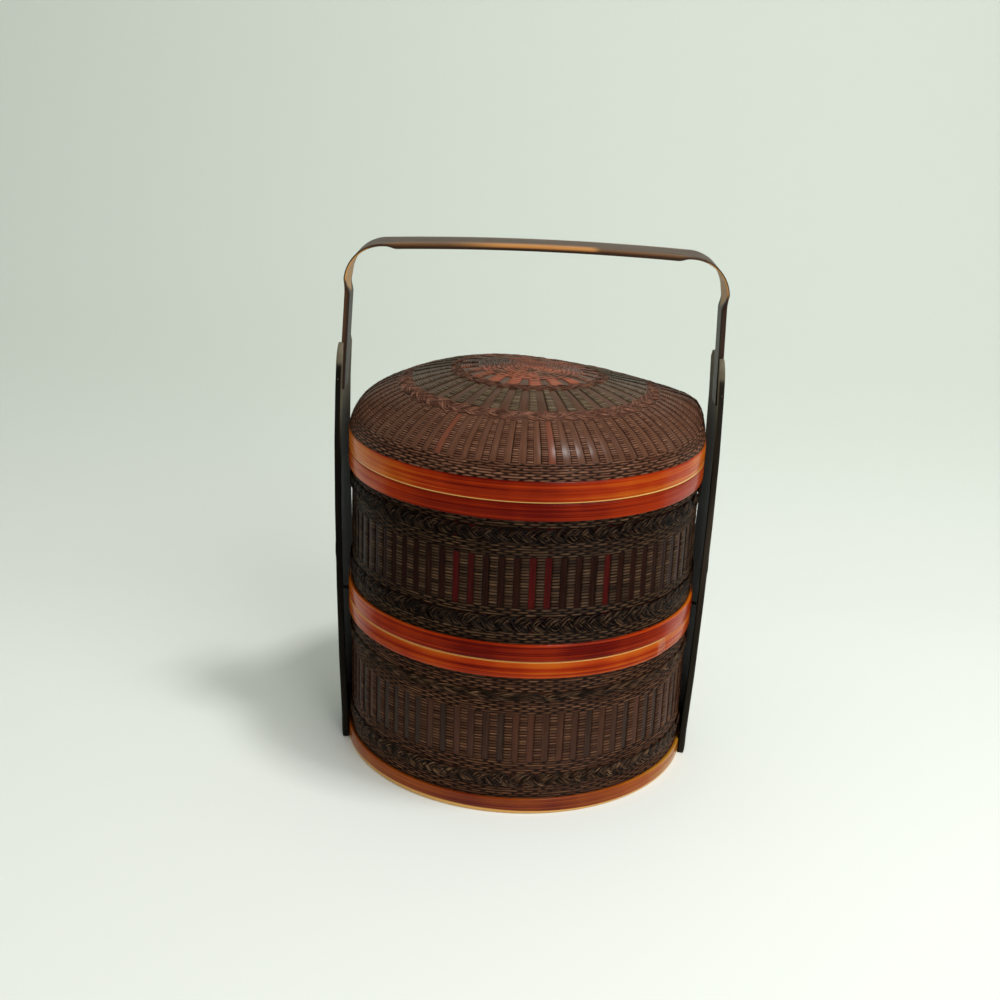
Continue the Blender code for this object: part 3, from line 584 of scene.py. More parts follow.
def build_tier_weave(tier, sizes, seed):
    """Weave one tier: fine rows, columns between the stakes, stakes and a lining."""
    skin = tier_skin(tier, sizes)
    foot_top, low_start, low_end, high_start, high_end, rim_bottom = tier_zones(tier)
    stake_start, stake_end = TIER_STAKES[tier]
    under = 1.5 * MM
    tuck = 0.4 * MM
    pitch = sizes.fine_pitch
    fine = stack_rows(
        (foot_top - under, low_start + tuck, pitch, 0), (low_end - tuck, stake_start, pitch, 0),
        (stake_end, high_start + tuck, pitch, 0), (high_end - tuck, rim_bottom + under, pitch, 0))
    columns = stack_rows((stake_start, stake_end, sizes.column_pitch, 1))
    count = sizes.stake_count
    phase = TIER_PHASE[tier]
    for number, (label, rows, replaced) in enumerate((
            ("fine", fine, (tier + "_wall",)), ("column", columns, ()))):
        mesh = weave(f"{tier}_{label}_wefts", skin, rows, count, phase, 0.315, seed + number)
        add_piece(mesh, MATERIALS[tier + "_weft"], tier, replaced, 75.0)
    bottom, top = node_span(tier + "_wall")[1:]
    shift = phase - count / 2
    for label, aside in (("shown", 0.5), ("hidden", 0.0)):
        mesh = lay_stakes(
            f"{tier}_{label}_stakes", skin, bottom, top, count, shift + aside,
            sizes.stake_width, 0.48, 5, seed + 2, STAKE_TONES[tier] if aside else ())
        add_piece(mesh, MATERIALS[tier + "_stake"], tier, ())
    outer = sizes.weave_radius - LINING_DEPTHS[0]
    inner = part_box(tier + "_foot_ring")[1].x + 0.1 * MM
    points = [(outer, bottom), (outer, top), (inner, top), (inner, bottom)]
    mesh = lining(tier + "_lining", points, 144)
    add_piece(mesh, MATERIALS["lining"], tier, ())


def build_tier_braids(tier, sizes, seed):
    """Plait the two braids of a tier."""
    skin = tier_skin(tier, sizes)
    for number, label in enumerate(("lower_braid", "upper_braid")):
        node_name = f"{tier}_{label}"
        outer, bottom, top = node_span(node_name)
        corded = node_name == "lower_tier_upper_braid"
        period = sizes.plait_period * (1.9 if corded else 1.0)
        mesh = plait(
            node_name + "_plait", skin, (bottom + top) / 2, top - bottom, period, 5,
            outer - sizes.weave_radius - 1.2 * MM, 0.7 if corded else 1.1, 0.32 * MM,
            seed + number)
        add_piece(mesh, MATERIALS[tier + "_braid"], tier, (node_name,), 75.0)


# The lid

class Settling:
    """How far the old dome has sunk or risen, in its height, at a place on it.

    Each row of the table is a middle across and deep, a spread, a rise and the height over
    which that rise sets in.
    """

    def __init__(self, base):
        self.base = base

    def __call__(self, across, depth, height):
        total = 0.0
        for middle, back, spread, rise, ramp in DOME_SETTLING:
            share = np.clip((height - self.base) / ramp, 0.0, 1.0)
            away = (across - middle) ** 2 + (depth - back) ** 2
            total = total + share * rise * np.exp(-away / spread ** 2)
        return total


def dome_skin():
    """Make the skin of the lid, from inside its hoop to the middle of its crown."""
    outer, _, top = node_span("lid_dome")
    base = node_span("lid_rim_hoop")[2] + 0.9 * MM
    full = outer - STAKE_SET_BACK
    rise = top - base - STAKE_SET_BACK
    bend = np.linspace(math.pi / 2, 0.0, 400)
    radii = full * np.sin(bend)
    heights = base + rise * (1.0 - (radii / full) ** 2) ** 0.59
    radii = np.concatenate((np.linspace(full - 1.6 * MM, full, 12)[:-1], radii))
    heights = np.concatenate((np.linspace(base - 7.0 * MM, base, 12)[:-1], heights))
    radii[-1] = 0.0
    return Skin(radii, heights, wander=0.30 * MM, settle=Settling(base))


def settle_mesh(mesh, skin):
    """Let a turned mesh of the lid settle with its skin, and give its points."""
    points = read_points(mesh)
    points[:, 2] += skin.settle(points[:, 0], points[:, 1], points[:, 2])
    write_points(mesh, points)
    return points


def braid_reach(node_name):
    """Give the inner and outer radius of a ring that lies on the lid."""
    points = read_points(bpy.data.objects[node_name].data)
    radii = np.hypot(points[:, 0], points[:, 1])
    return float(radii.min()), float(radii.max())


def build_lid_weave(sizes):
    """Weave the dome: its shoulder, the band between the braids, the crown and its button."""
    skin = dome_skin()
    crown_in, crown_out = (skin.at_radius(r) for r in braid_reach("lid_crown_braid"))
    ring_in, ring_out = (skin.at_radius(r) for r in braid_reach("lid_outer_braid"))
    middle_end = skin.at_radius(ROSETTE_HOLE)
    rays_end = skin.at_radius(ROSETTE_RAYS)
    tuck = 0.5 * MM
    fine_end = LID_EDGE + LID_FINE_BAND
    pitch = sizes.lid_pitch
    count = sizes.lid_stake_count
    few = sizes.crown_stake_count
    shoulder = stack_rows(
        (LID_EDGE, fine_end, sizes.fine_pitch, 0), (fine_end, ring_out + tuck, pitch, 1))
    crown = stack_rows((ring_in - tuck, crown_out + tuck, pitch, 1))
    rosette = stack_rows(
        (crown_in - tuck, rays_end, pitch, 1), (rays_end, middle_end, pitch, 0))
    wefts = (
        ("shoulder", shoulder, count, 0.27, 31, "lid_weft", ("lid_dome",)),
        ("crown", crown, few, 0.27, 32, "crown_weft", ()),
        ("rosette", rosette, few // 2, 0.34, 35, "rosette_weft", ()))
    for zone, rows, number, reach, seed, finish, replaced in wefts:
        mesh = weave(f"lid_{zone}_wefts", skin, rows, number, 0.25, reach, seed)
        add_piece(mesh, MATERIALS[finish], "lid", replaced, 75.0)
    stakes = (
        ("shoulder", tuck, ring_in, count, 14, "lid_stake", LID_TONES),
        ("crown", ring_out, crown_in, few, 8, "crown_stake", ()),
        ("rosette", crown_out, middle_end, few // 2, 10, "crown_stake", ()))
    for zone, start, end, number, cuts, finish, tones in stakes:
        width = sizes.stake_width * (1.0 if number == count else 1.6)
        for label, aside in (("shown", 0.5), ("hidden", 0.0)):
            mesh = lay_stakes(
                f"lid_{zone}_{label}_stakes", skin, start, end, number,
                0.25 + aside - number / 2, width, 0.5, cuts, 33, tones if aside else ())
            add_piece(mesh, MATERIALS[finish], "lid", ())
    build_dome_lining(skin)
    build_button(skin)


def build_button(skin):
    """Close the middle of the crown with a small coiled button."""
    steps = 24
    points = []
    for step in range(steps + 1):
        radius = (ROSETTE_HOLE + 1.0 * MM) * step / steps
        along = skin.at_radius(radius)
        ridge = 0.45 * MM * abs(math.sin(math.pi * 3.0 * step / steps))
        out = 0.2 * MM + ridge
        points.append((radius, float(np.interp(along, skin.along, skin.heights)) + out))
    points.append((ROSETTE_HOLE + 1.0 * MM, points[-1][1] - 1.6 * MM))
    points.append((0.0, points[0][1] - 1.8 * MM))
    mesh = lining("lid_button", points, 48)
    points = settle_mesh(mesh, skin)
    radius = np.hypot(points[:, 0], points[:, 1])
    mark_fibres(mesh, radius * angle_of(points), radius, 3.0, 0.5, 0.6)
    add_piece(mesh, MATERIALS["rosette_weft"], "lid", ())


def build_dome_lining(skin):
    """Turn the thin lining under the dome's weave."""
    shares = np.linspace(0.0, 1.0, 34)
    last = skin.along[-1]
    plain = Skin(skin.radii, skin.heights)
    outer, inner = ([plain.place(0.0, share * last, -depth) for share in shares]
                    for depth in LINING_DEPTHS)
    rim = [(float(place[0]), float(place[2])) for place in inner[-2::-1] + outer[:-1]]
    ends = [(0.0, float(skin.heights[-1]) - depth) for depth in LINING_DEPTHS]
    points = [ends[1], *rim, ends[0]]
    mesh = lining("lid_lining", points, 144)
    settle_mesh(mesh, skin)
    add_piece(mesh, MATERIALS["lining"], "lid", ())


def build_lid_braids():
    """Plait the two braid rings of the lid."""
    skin = dome_skin()
    for node_name, seed, period in (
            ("lid_crown_braid", 41, 0.0210), ("lid_outer_braid", 42, 0.0260)):
        near, far = braid_reach(node_name)
        middle = skin.at_radius((near + far) / 2)
        mesh = plait(
            node_name + "_plait", skin, middle, far - near, period, 7, 0.5 * MM, 1.2,
            0.08 * MM, seed)
        add_piece(mesh, MATERIALS["lid_braid"], "lid", (node_name,), 75.0)


# Hoops and rings

def round_ring(name, outer, inner, bottom, top, rounding, crown, steps=HOOP_STEPS):
    """Turn a ring with rounded edges and a slightly full outer face."""
    middle = (bottom + top) / 2
    points = [(outer, bottom), (outer + crown, middle), (outer, top), (inner, top),
              (inner, middle), (inner, bottom)]
    shape = turn_outline(points, steps, closed=True)
    bmesh.ops.recalc_face_normals(shape, faces=shape.faces)
    soften(shape, rounding, 3)
    return to_mesh(name, shape)


def lap_hoop(mesh, lap_degrees, depth, middle):
    """Draw one end of a hoop's strip in under the other, and return where it ends."""
    points = read_points(mesh)
    angle = angle_of(points)
    lap = np.pi + np.mod(math.radians(lap_degrees) - np.pi, TURN)
    after = np.mod(angle - lap, TURN)
    drawn = depth * np.clip(1.0 - after / 1.1, 0.0, 1.0) ** 1.5
    radius = np.hypot(points[:, 0], points[:, 1])
    outer_face = radius > middle
    step = TURN / HOOP_STEPS
    gap = np.minimum(after, TURN - after)
    near = np.where(after < step, 0.06 * step, np.where(gap < step, -0.06 * step, 0.0))
    new_angle = np.where(near != 0.0, lap + near, angle)
    new_radius = radius - np.where(outer_face, drawn, 0.0)
    points[:, 0] = new_radius * np.cos(new_angle)
    points[:, 1] = new_radius * np.sin(new_angle)
    write_points(mesh, points)
    return new_angle


def build_hoop(node_name, body, material, lap_degrees, edge_line_width, edge_line_side, seed):
    """Make one lacquered hoop over its solid."""
    outer, bottom, top = node_span(node_name)
    inner = outer - 2.6 * MM
    mesh = round_ring(
        node_name + "_strip", outer - 0.2 * MM, inner, bottom, top, 0.6 * MM, 0.2 * MM)
    angle = lap_hoop(mesh, lap_degrees, 0.9 * MM, (outer + inner) / 2)
    points = read_points(mesh)
    from_bottom = points[:, 2] - bottom
    from_top = top - points[:, 2]
    crest = np.clip(1.0 - np.minimum(from_bottom, from_top) / (0.7 * MM), 0.0, 1.0)
    mark_fibres(mesh, outer * angle, from_bottom, seed, 0.5, crest)
    sway = 1.0 + 0.35 * np.sin(angle + seed) + 0.25 * np.sin(angle * 3.0 + 2.0 * seed)
    # Painted sheen: the share by which a point lies toward the hoop's left or right side, where
    # the finish turns the lacquer toward amber.
    write_layer(mesh, "aside", np.clip((np.abs(np.cos(angle)) - 0.30) / 0.60, 0.0, 1.0))
    # The pale line along one edge is bare bamboo; on the lower rim hoop's top edge it is a painted
    # reflection.
    gap = from_bottom if edge_line_side < 0 else from_top
    write_layer(mesh, "bare_gap", gap / np.maximum(edge_line_width * sway, 0.02 * MM))
    add_piece(mesh, material, body, (node_name,), 60.0)


def build_inner_ring(node_name, body, seed):
    """Make one bare bamboo ring of the inside over its solid."""
    outer, bottom, top = node_span(node_name)
    inner = braid_reach(node_name)[0]
    mesh = round_ring(node_name + "_strip", outer, inner, bottom, top, 0.7 * MM, 0.0, 144)
    points = read_points(mesh)
    crest = np.clip(1.0 - (top - points[:, 2]) / (1.0 * MM), 0.0, 1.0)
    mark_fibres(mesh, outer * angle_of(points), points[:, 2], seed, 0.5, crest)
    add_piece(mesh, MATERIALS["inside"], body, (node_name,), 60.0)


# Floors

def build_floor(tier, sizes, seed):
    """Weave a floor of flat strips, and lay rounded battens under it."""
    radius, bottom, top = node_span(tier + "_floor")
    middle = (bottom + top) / 2
    reach = radius - 0.3 * MM
    count = int(reach / sizes.floor_strip)
    lift = 0.5 * MM
    draw = np.random.default_rng(seed)
    for label, axis in (("long", 0), ("cross", 1)):
        whole = bmesh.new()
        for step in range(-count, count + 1):
            offset = step * sizes.floor_strip
            half = sizes.floor_strip * 0.46
            length = math.sqrt(reach ** 2 - (abs(offset) + half) ** 2)
            strip = bar(4 * (2 * count + 1))
            for corner in strip.verts:
                along = (corner.co.x * 2.0 - 1.0) * length
                side = (-1.0) ** (step + axis)
                wave = side * math.cos(math.pi * along / sizes.floor_strip)
                through = corner.co.z * 0.28 * MM + lift * wave
                across = offset + corner.co.y * half
                place = (along, across) if axis == 0 else (across, along)
                corner.co = (place[0], place[1], middle + through)
            part = bpy.data.meshes.new("strip")
            strip.to_mesh(part)
            strip.free()
            points = read_points(part)
            tone, seed_share = draw.random(2)
            mark_fibres(part, points[:, axis], points[:, 1 - axis] - offset,
                        seed_share * 9.0, tone, 0.4)
            whole.from_mesh(part)
            bpy.data.meshes.remove(part)
        mesh = to_mesh(f"{tier}_floor_{label}_strips", whole)
        replaced = (tier + "_floor",) if axis == 0 else ()
        add_piece(mesh, MATERIALS["floor_strip"], tier, replaced)
    for number in (1, 2):
        build_batten(f"{tier}_batten_{number}", tier)


def build_batten(node_name, body):
    """Make one batten with rounded edges and shaved ends over its solid."""
    low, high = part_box(node_name)
    size = high - low
    shape = bar(12)
    for corner in shape.verts:
        end = min(corner.co.x, 1.0 - corner.co.x)
        thin = 0.55 + 0.45 * min(1.0, end / 0.08)
        corner.co.x = low.x + size.x * corner.co.x
        corner.co.y = (low.y + high.y) / 2 + corner.co.y * size.y / 2
        corner.co.z = high.z - size.z * thin * (1.0 - corner.co.z) / 2
    soften(shape, 0.5 * MM)
    mesh = to_mesh(node_name + "_slat", shape)
    points = read_points(mesh)
    mark_fibres(mesh, points[:, 0], points[:, 1], low.y * 50.0, 0.6, 0.3)
    add_piece(mesh, MATERIALS["inside"], body, (node_name,))


# The carrier

def post_inner_radius(share):
    """Give how far from the axis a post's inner face stands at a share of its height."""
    low, bow = zip(*POST_BOW_SHARES)
    return POST_RADIUS + POST_BOW * np.interp(share, low, bow)


def post_half_width(height, slot_bottom):
    """Give half a post's width at a height."""
    share = np.clip(height / slot_bottom, 0.0, 1.0)
    return POST_FOOT_HALF + (POST_TOP_HALF - POST_FOOT_HALF) * share


def build_post(node_name, side):
    """Make one forked post, bowed, rounded along its edges and shaved at its ears."""
    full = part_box(node_name)[1].z
    slot_bottom = full - SLOT_DEPTH
    rows = [slot_bottom * step / POST_ROWS for step in range(POST_ROWS)]
    rows += [
        slot_bottom + (full - slot_bottom) * step / SLOT_ROWS for step in range(SLOT_ROWS + 1)]
    columns = 12
    shape = bmesh.new()
    bmesh.ops.create_grid(shape, x_segments=columns, y_segments=len(rows) - 1, size=1.0)
    keys = [shape.verts.layers.float.new(label) for label in ("along", "across")]
    for corner in shape.verts:
        column = round((corner.co.x + 1.0) / 2 * columns) - columns // 2
        row = round((corner.co.y + 1.0) / 2 * (len(rows) - 1))
        height = rows[row]
        half = float(post_half_width(height, slot_bottom))
        inner_part = min(abs(column), 2) / 2 * SLOT_HALF
        outer_part = max(abs(column) - 2, 0) / 4 * (half - SLOT_HALF)
        across = math.copysign(inner_part + outer_part, column)
        corner[keys[0]] = height
        corner[keys[1]] = across
        corner.co = (column, row, 0.0)
    gap = [
        face for face in shape.faces
        if abs(face.calc_center_median().x) < 2 and face.calc_center_median().y > POST_ROWS]
    bmesh.ops.delete(shape, geom=gap, context="FACES")
    for corner in shape.verts:
        height, across = corner[keys[0]], corner[keys[1]]
        ear = max(0.0, abs(across) - EAR_FLAT)
        drop = EAR_RADIUS - math.sqrt(max(0.0, EAR_RADIUS ** 2 - ear ** 2))
        if height > full - EAR_HEIGHT:
            height -= drop * (height - full + EAR_HEIGHT) / EAR_HEIGHT
        radius = float(post_inner_radius(height / full))
        corner[keys[0]] = height
        angle = across / radius
        corner.co = (side * radius * math.cos(angle), side * radius * math.sin(angle), height)
    bmesh.ops.recalc_face_normals(shape, faces=shape.faces)
    outward = sum((Vector((f.normal.x, f.normal.y)).dot(f.calc_center_median().xy)
                   for f in shape.faces))
    if outward < 0:
        bmesh.ops.reverse_faces(shape, faces=shape.faces)
    bmesh.ops.solidify(shape, geom=shape.faces[:], thickness=-POST_THICKNESS)
    bmesh.ops.recalc_face_normals(shape, faces=shape.faces)
    shave_ears(shape, full)
    soften(shape, 0.9 * MM, 3)
    mesh = to_mesh(node_name + "_split_bamboo", shape)
    mark_post(mesh, side, full)
    for label in ("along", "across"):
        mesh.attributes.remove(mesh.attributes[label])
    add_piece(mesh, MATERIALS["post"], "lower_tier", (node_name,), 55.0)


def shave_ears(shape, full):
    """Thin the ears towards their tops, and raise the bamboo's joints a little."""
    for corner in shape.verts:
        radius = corner.co.xy.length
        inner = float(post_inner_radius(min(corner.co.z, full) / full))
        share = (radius - inner) / POST_THICKNESS
        top = max(0.0, (corner.co.z - full + 0.014) / 0.014)
        joint = math.exp(-((corner.co.z - POST_JOINT) / 0.0035) ** 2)
        moved = share * (0.0005 * joint - 0.0012 * top ** 2)
        corner.co.xy *= (radius + moved) / radius


def mark_post(mesh, side, full):
    """Mark a post's fibres, its pale inner face and its shaved ears."""
    points = read_points(mesh)
    radius = np.hypot(points[:, 0], points[:, 1])
    inner = post_inner_radius(np.clip(points[:, 2] / full, 0.0, 1.0))
    share = np.clip((radius - inner) / POST_THICKNESS, 0.0, 1.0)
    crest = np.clip((points[:, 2] - full + 0.016) / 0.004, 0.0, 1.0)
    mark_fibres(mesh, points[:, 2], points[:, 1], side * 3.0, share, crest)


def handle_path(reach, shoulder, bend, bottom, steps):
    """Give places and inward directions along the handle's outer face, from the left foot."""
    corner_z = shoulder - bend
    leg = corner_z - bottom
    arc = bend * math.pi / 2
    half = leg + arc + reach - bend
    path = []
    for step in range(steps + 1):
        run = 2.0 * half * step / steps
        side = -1 if run < half else 1
        run = min(run, 2.0 * half - run)
        foot = reach - HANDLE_FOOT_SHIFT[side]
        lean = HANDLE_LEAN[side]
        corner_x = foot - lean - bend
        if run < leg:
            place, inward = (foot - lean * run / leg, bottom + run), (1.0, 0.0)
        elif run < leg + arc:
            turn = (run - leg) / bend
            place = (corner_x + bend * math.cos(turn), corner_z + bend * math.sin(turn))
            inward = (math.cos(turn), math.sin(turn))
        else:
            across = corner_x * (half - run) / (half - leg - arc)
            rise = HANDLE_RISE * (1.0 - (across / corner_x) ** 2)
            place, inward = (across, shoulder + rise), (0.0, 1.0)
        path.append((side * place[0], place[1], side * inward[0], inward[1], run))
    return path


def ease(value, start, end):
    """Rise smoothly from 0 to 1 between two values."""
    share = min(max((value - start) / (end - start), 0.0), 1.0)
    return share * share * (3.0 - 2.0 * share)


def build_handle():
    """Bend one strip: narrow legs, thin wide bends and a thicker grip."""
    low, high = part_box("handle_strip")
    shoulder = high.z - HANDLE_RISE
    steps = 300
    path = handle_path(high.x, shoulder, HANDLE_BEND, low.z, steps)
    half_run = max(place[4] for place in path)
    neck = shoulder - NECK_DROP - low.z
    shave = shoulder - SHAVE_DROP - low.z
    shape = bar(steps - 1, 6)
    keys = [shape.verts.layers.float.new(label) for label in ("run", "across", "through")]
    for corner in shape.verts:
        x, z, inward_x, inward_z, run = path[round(corner.co.x * steps)]
        share = min(max((run - neck + 0.003) / 0.013, 0.0), 1.0)
        wide = share ** 2 * (1.6 - 0.6 * share) if share < 1.0 else 1.0
        half = LEG_HALF + (GRIP_HALF - LEG_HALF) * wide
        thin_leg = 1.0 - ease(run, shave - 0.001, shave + 0.008)
        thick_pad = ease(run, half_run - PAD_START, half_run - PAD_END)
        depth = THIN_STRIP + LEG_EXTRA * thin_leg + PAD_EXTRA * thick_pad
        inside = (1.0 - corner.co.z) / 2
        crown = 0.0006 * (1.0 - corner.co.y ** 2) * thick_pad
        shift = inside * depth - (crown if inside < 0.5 else -0.5 * crown)
        for key, value in zip(keys, (run, corner.co.y, inside)):
            corner[key] = value
        corner.co = (x - inward_x * shift, corner.co.y * half, z - inward_z * shift)
    bmesh.ops.recalc_face_normals(shape, faces=shape.faces)
    soften(shape, 0.55 * MM, 2, 60.0)
    mesh = to_mesh("handle_bent_strip", shape)
    run, across, inside = (read_layer(mesh, label) for label in ("run", "across", "through"))
    points = read_points(mesh)
    length = np.where(points[:, 0] < 0, run, 2 * run.max() - run)
    mark_fibres(mesh, length, points[:, 1], 5.0, inside, np.abs(across) ** 6)
    write_layer(mesh, "run", run - 0.010 * across ** 2 * (run < 0.12))
    add_piece(
        mesh, MATERIALS["handle"], "lower_tier", ("handle_strip",), 55.0)


def build_peg(node_name):
    """Turn one peg with a rounded head, or rounded ends, over its solid."""
    low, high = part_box(node_name)
    size = high - low
    axis = max(range(3), key=lambda number: size[number])
    radius = min(size) / 2
    reach = max(size) / 2
    outline = [
        (0.0, -reach), (0.72 * radius, -reach), (radius, 0.3 * radius - reach),
        (radius, reach - 0.3 * radius), (0.72 * radius, reach), (0.0, reach)]
    if "leg" not in node_name:
        outline = [
            (0.0, -reach), (radius / 2, -reach), (radius / 2, reach - 1.2 * MM),
            (radius, reach - 1.2 * MM), (0.95 * radius, reach - 0.5 * MM),
            (0.6 * radius, reach - 0.1 * MM), (0.0, reach)]
    shape = turn_outline(outline, 20, closed=False)
    bmesh.ops.remove_doubles(shape, verts=shape.verts, dist=SEAM)
    middle = (low + high) / 2
    if axis == 0:
        turn = Matrix.Rotation(math.copysign(math.pi / 2, middle.x), 4, "Y")
    else:
        turn = Matrix.Rotation(-math.pi / 2, 4, "X")
    bmesh.ops.transform(shape, matrix=Matrix.Translation(middle) @ turn, verts=shape.verts)
    mesh = to_mesh(node_name + "_pin", shape)
    points = read_points(mesh)
    mark_fibres(mesh, points[:, axis], points[:, 2], middle.x * 40.0, 0.5, 0.3)
    add_piece(mesh, MATERIALS["peg"], "lower_tier", (node_name,), 45.0)


# Materials

def shade(colour, share):
    """Give a darker or lighter shade of a colour."""
    return tuple(share * part for part in colour)


def put(tree, socket, value):
    """Link an output to a socket, or set the socket's own value."""
    if isinstance(value, bpy.types.NodeSocket):
        tree.links.new(value, socket)
    elif socket.type == "RGBA" and len(value) == 3:
        socket.default_value = (*value, 1.0)
    else:
        socket.default_value = value


def node(tree, kind, inputs=(), **settings):
    """Add a node, choose its settings and fill its inputs."""
    made = tree.nodes.new(kind)
    for name, value in settings.items():
        setattr(made, name, value)
    for key, value in dict(inputs).items():
        put(tree, made.inputs[key], value)
    return made


def math_node(tree, operation, first, second=0.0, third=0.0, clamp=False):
    """Add a Math node and give its value."""
    made = node(tree, "ShaderNodeMath", {0: first, 1: second, 2: third},
                operation=operation, use_clamp=clamp)
    return made.outputs[0]


def times(tree, first, second, clamp=False):
    """Multiply two values."""
    return math_node(tree, "MULTIPLY", first, second, clamp=clamp)


def times_add(tree, first, second, third, clamp=False):
    """Multiply two values and add a third."""
    return math_node(tree, "MULTIPLY_ADD", first, second, third, clamp)


def mix_colours(tree, share, first, second):
    """Mix two colours and give the result."""
    made = node(tree, "ShaderNodeMix", data_type="RGBA")
    put(tree, made.inputs["Factor"], share)
    put(tree, made.inputs[6], first)
    put(tree, made.inputs[7], second)
    return made.outputs[2]


def stretch(tree, value, low, high, new_low=0.0, new_high=1.0):
    """Map one range of values onto another, smoothly and within its ends."""
    made = node(tree, "ShaderNodeMapRange", {
        "Value": value, "From Min": low, "From Max": high, "To Min": new_low,
        "To Max": new_high}, interpolation_type="SMOOTHSTEP")
    return made.outputs["Result"]


def noise(tree, vector, scale, detail, rough=0.55):
    """Add a noise and give its value."""
    made = node(tree, "ShaderNodeTexNoise", {
        "Vector": vector, "Scale": scale, "Detail": detail, "Roughness": rough})
    return made.outputs["Fac"]


def attribute(tree, name, output="Fac"):
    """Read one of the piece's own attributes."""
    return node(tree, "ShaderNodeAttribute", attribute_name=name).outputs[output]


def object_places(tree):
    """Read where a point lies on the object: across, deep and high."""
    places = node(tree, "ShaderNodeTexCoord").outputs["Object"]
    return node(tree, "ShaderNodeSeparateXYZ", {0: places}).outputs


def new_group(name, inputs, outputs):
    """Start a shader node group with named inputs and outputs."""
    group = bpy.data.node_groups.new(name, "ShaderNodeTree")
    for label, value in inputs:
        socket = group.interface.new_socket(label, in_out="INPUT", socket_type="NodeSocketFloat")
        socket.default_value = value
    for label in outputs:
        group.interface.new_socket(label, in_out="OUTPUT", socket_type="NodeSocketFloat")
    start = group.nodes.new("NodeGroupInput")
    end = group.nodes.new("NodeGroupOutput")
    return group, start.outputs, end.inputs


def fibre_group():
    """Grain that follows the splint: fine fibres, long streaks and blotches."""
    group, given, made = new_group(
        "splint_fibres",
        (("Along Scale", 60.0), ("Across Scale", 1800.0), ("Blotch Scale", 35.0)),
        ("Fibre", "Streak", "Blotch"))
    strand = node(group, "ShaderNodeSeparateXYZ", {0: attribute(group, "strand", "Vector")})
    along, across, seed = strand.outputs[0], strand.outputs[1], strand.outputs[2]
    fine = node(group, "ShaderNodeCombineXYZ", {
        0: times(group, along, given["Along Scale"]),
        1: times(group, across, given["Across Scale"]),
        2: times(group, seed, 3.1)})
    put(group, made["Fibre"], noise(group, fine.outputs[0], 1.0, 3.0, 0.65))
    quarter = times(group, given["Across Scale"], 0.22)
    broad = node(group, "ShaderNodeCombineXYZ", {
        0: times(group, along, times(group, given["Along Scale"], 0.2)),
        1: times(group, across, quarter),
        2: times(group, seed, 5.7)})
    put(group, made["Streak"], noise(group, broad.outputs[0], 1.0, 2.0, 0.5))
    places = node(group, "ShaderNodeTexCoord").outputs["Object"]
    put(group, made["Blotch"], noise(group, places, given["Blotch Scale"], 3.0, 0.6))


def dust_group():
    """Dust that settles on faces that look up, in soft patches."""
    group, given, made = new_group(
        "settled_dust", (("Amount", 0.5), ("Patch Scale", 60.0)), ("Mask",))
    up = node(group, "ShaderNodeSeparateXYZ", {
        0: node(group, "ShaderNodeNewGeometry").outputs["Normal"]}).outputs[2]
    facing = stretch(group, up, 0.15, 0.95)
    places = node(group, "ShaderNodeTexCoord").outputs["Object"]
    patch = stretch(group, noise(group, places, given["Patch Scale"], 4.0, 0.6), 0.3, 0.7)
    mask = times(group, facing, patch)
    put(group, made["Mask"], times(group, mask, given["Amount"]))


class Finish:
    """A material in the making, with its tree and its Principled shader."""

    def __init__(self, name):
        self.material = bpy.data.materials.new(name)
        self.material.use_nodes = True
        self.tree = self.material.node_tree
        self.shader = self.tree.nodes["Principled BSDF"]

    def group(self, name, *values):
        """Place one of the shared groups with its own values, and give its outputs."""
        made = self.tree.nodes.new("ShaderNodeGroup")
        made.node_tree = bpy.data.node_groups[name]
        for socket, value in zip(made.inputs, values):
            socket.default_value = value
        return made.outputs

    def grain(self, along, across, blotch):
        """Read the fibres at scales along and across the splint, and for its blotches."""
        return self.group("splint_fibres", along, across, blotch)

    def dust(self, amount, patches):
        """Read where dust has settled."""
        return self.group("settled_dust", amount, patches)["Mask"]

    def surface(self, colour, roughness, height, depth, strength):
        """Fill the shader's colour, roughness and bump."""
        put(self.tree, self.shader.inputs["Base Color"], colour)
        put(self.tree, self.shader.inputs["Roughness"], roughness)
        bump = node(self.tree, "ShaderNodeBump", {
            "Height": height, "Distance": depth, "Strength": strength})
        put(self.tree, self.shader.inputs["Normal"], bump.outputs["Normal"])

    def gloss(self, coat, coat_roughness, specular):
        """Set the even values of the lacquer over the surface."""
        self.shader.inputs["Coat Weight"].default_value = coat
        self.shader.inputs["Coat Roughness"].default_value = coat_roughness
        self.shader.inputs["Specular IOR Level"].default_value = specular


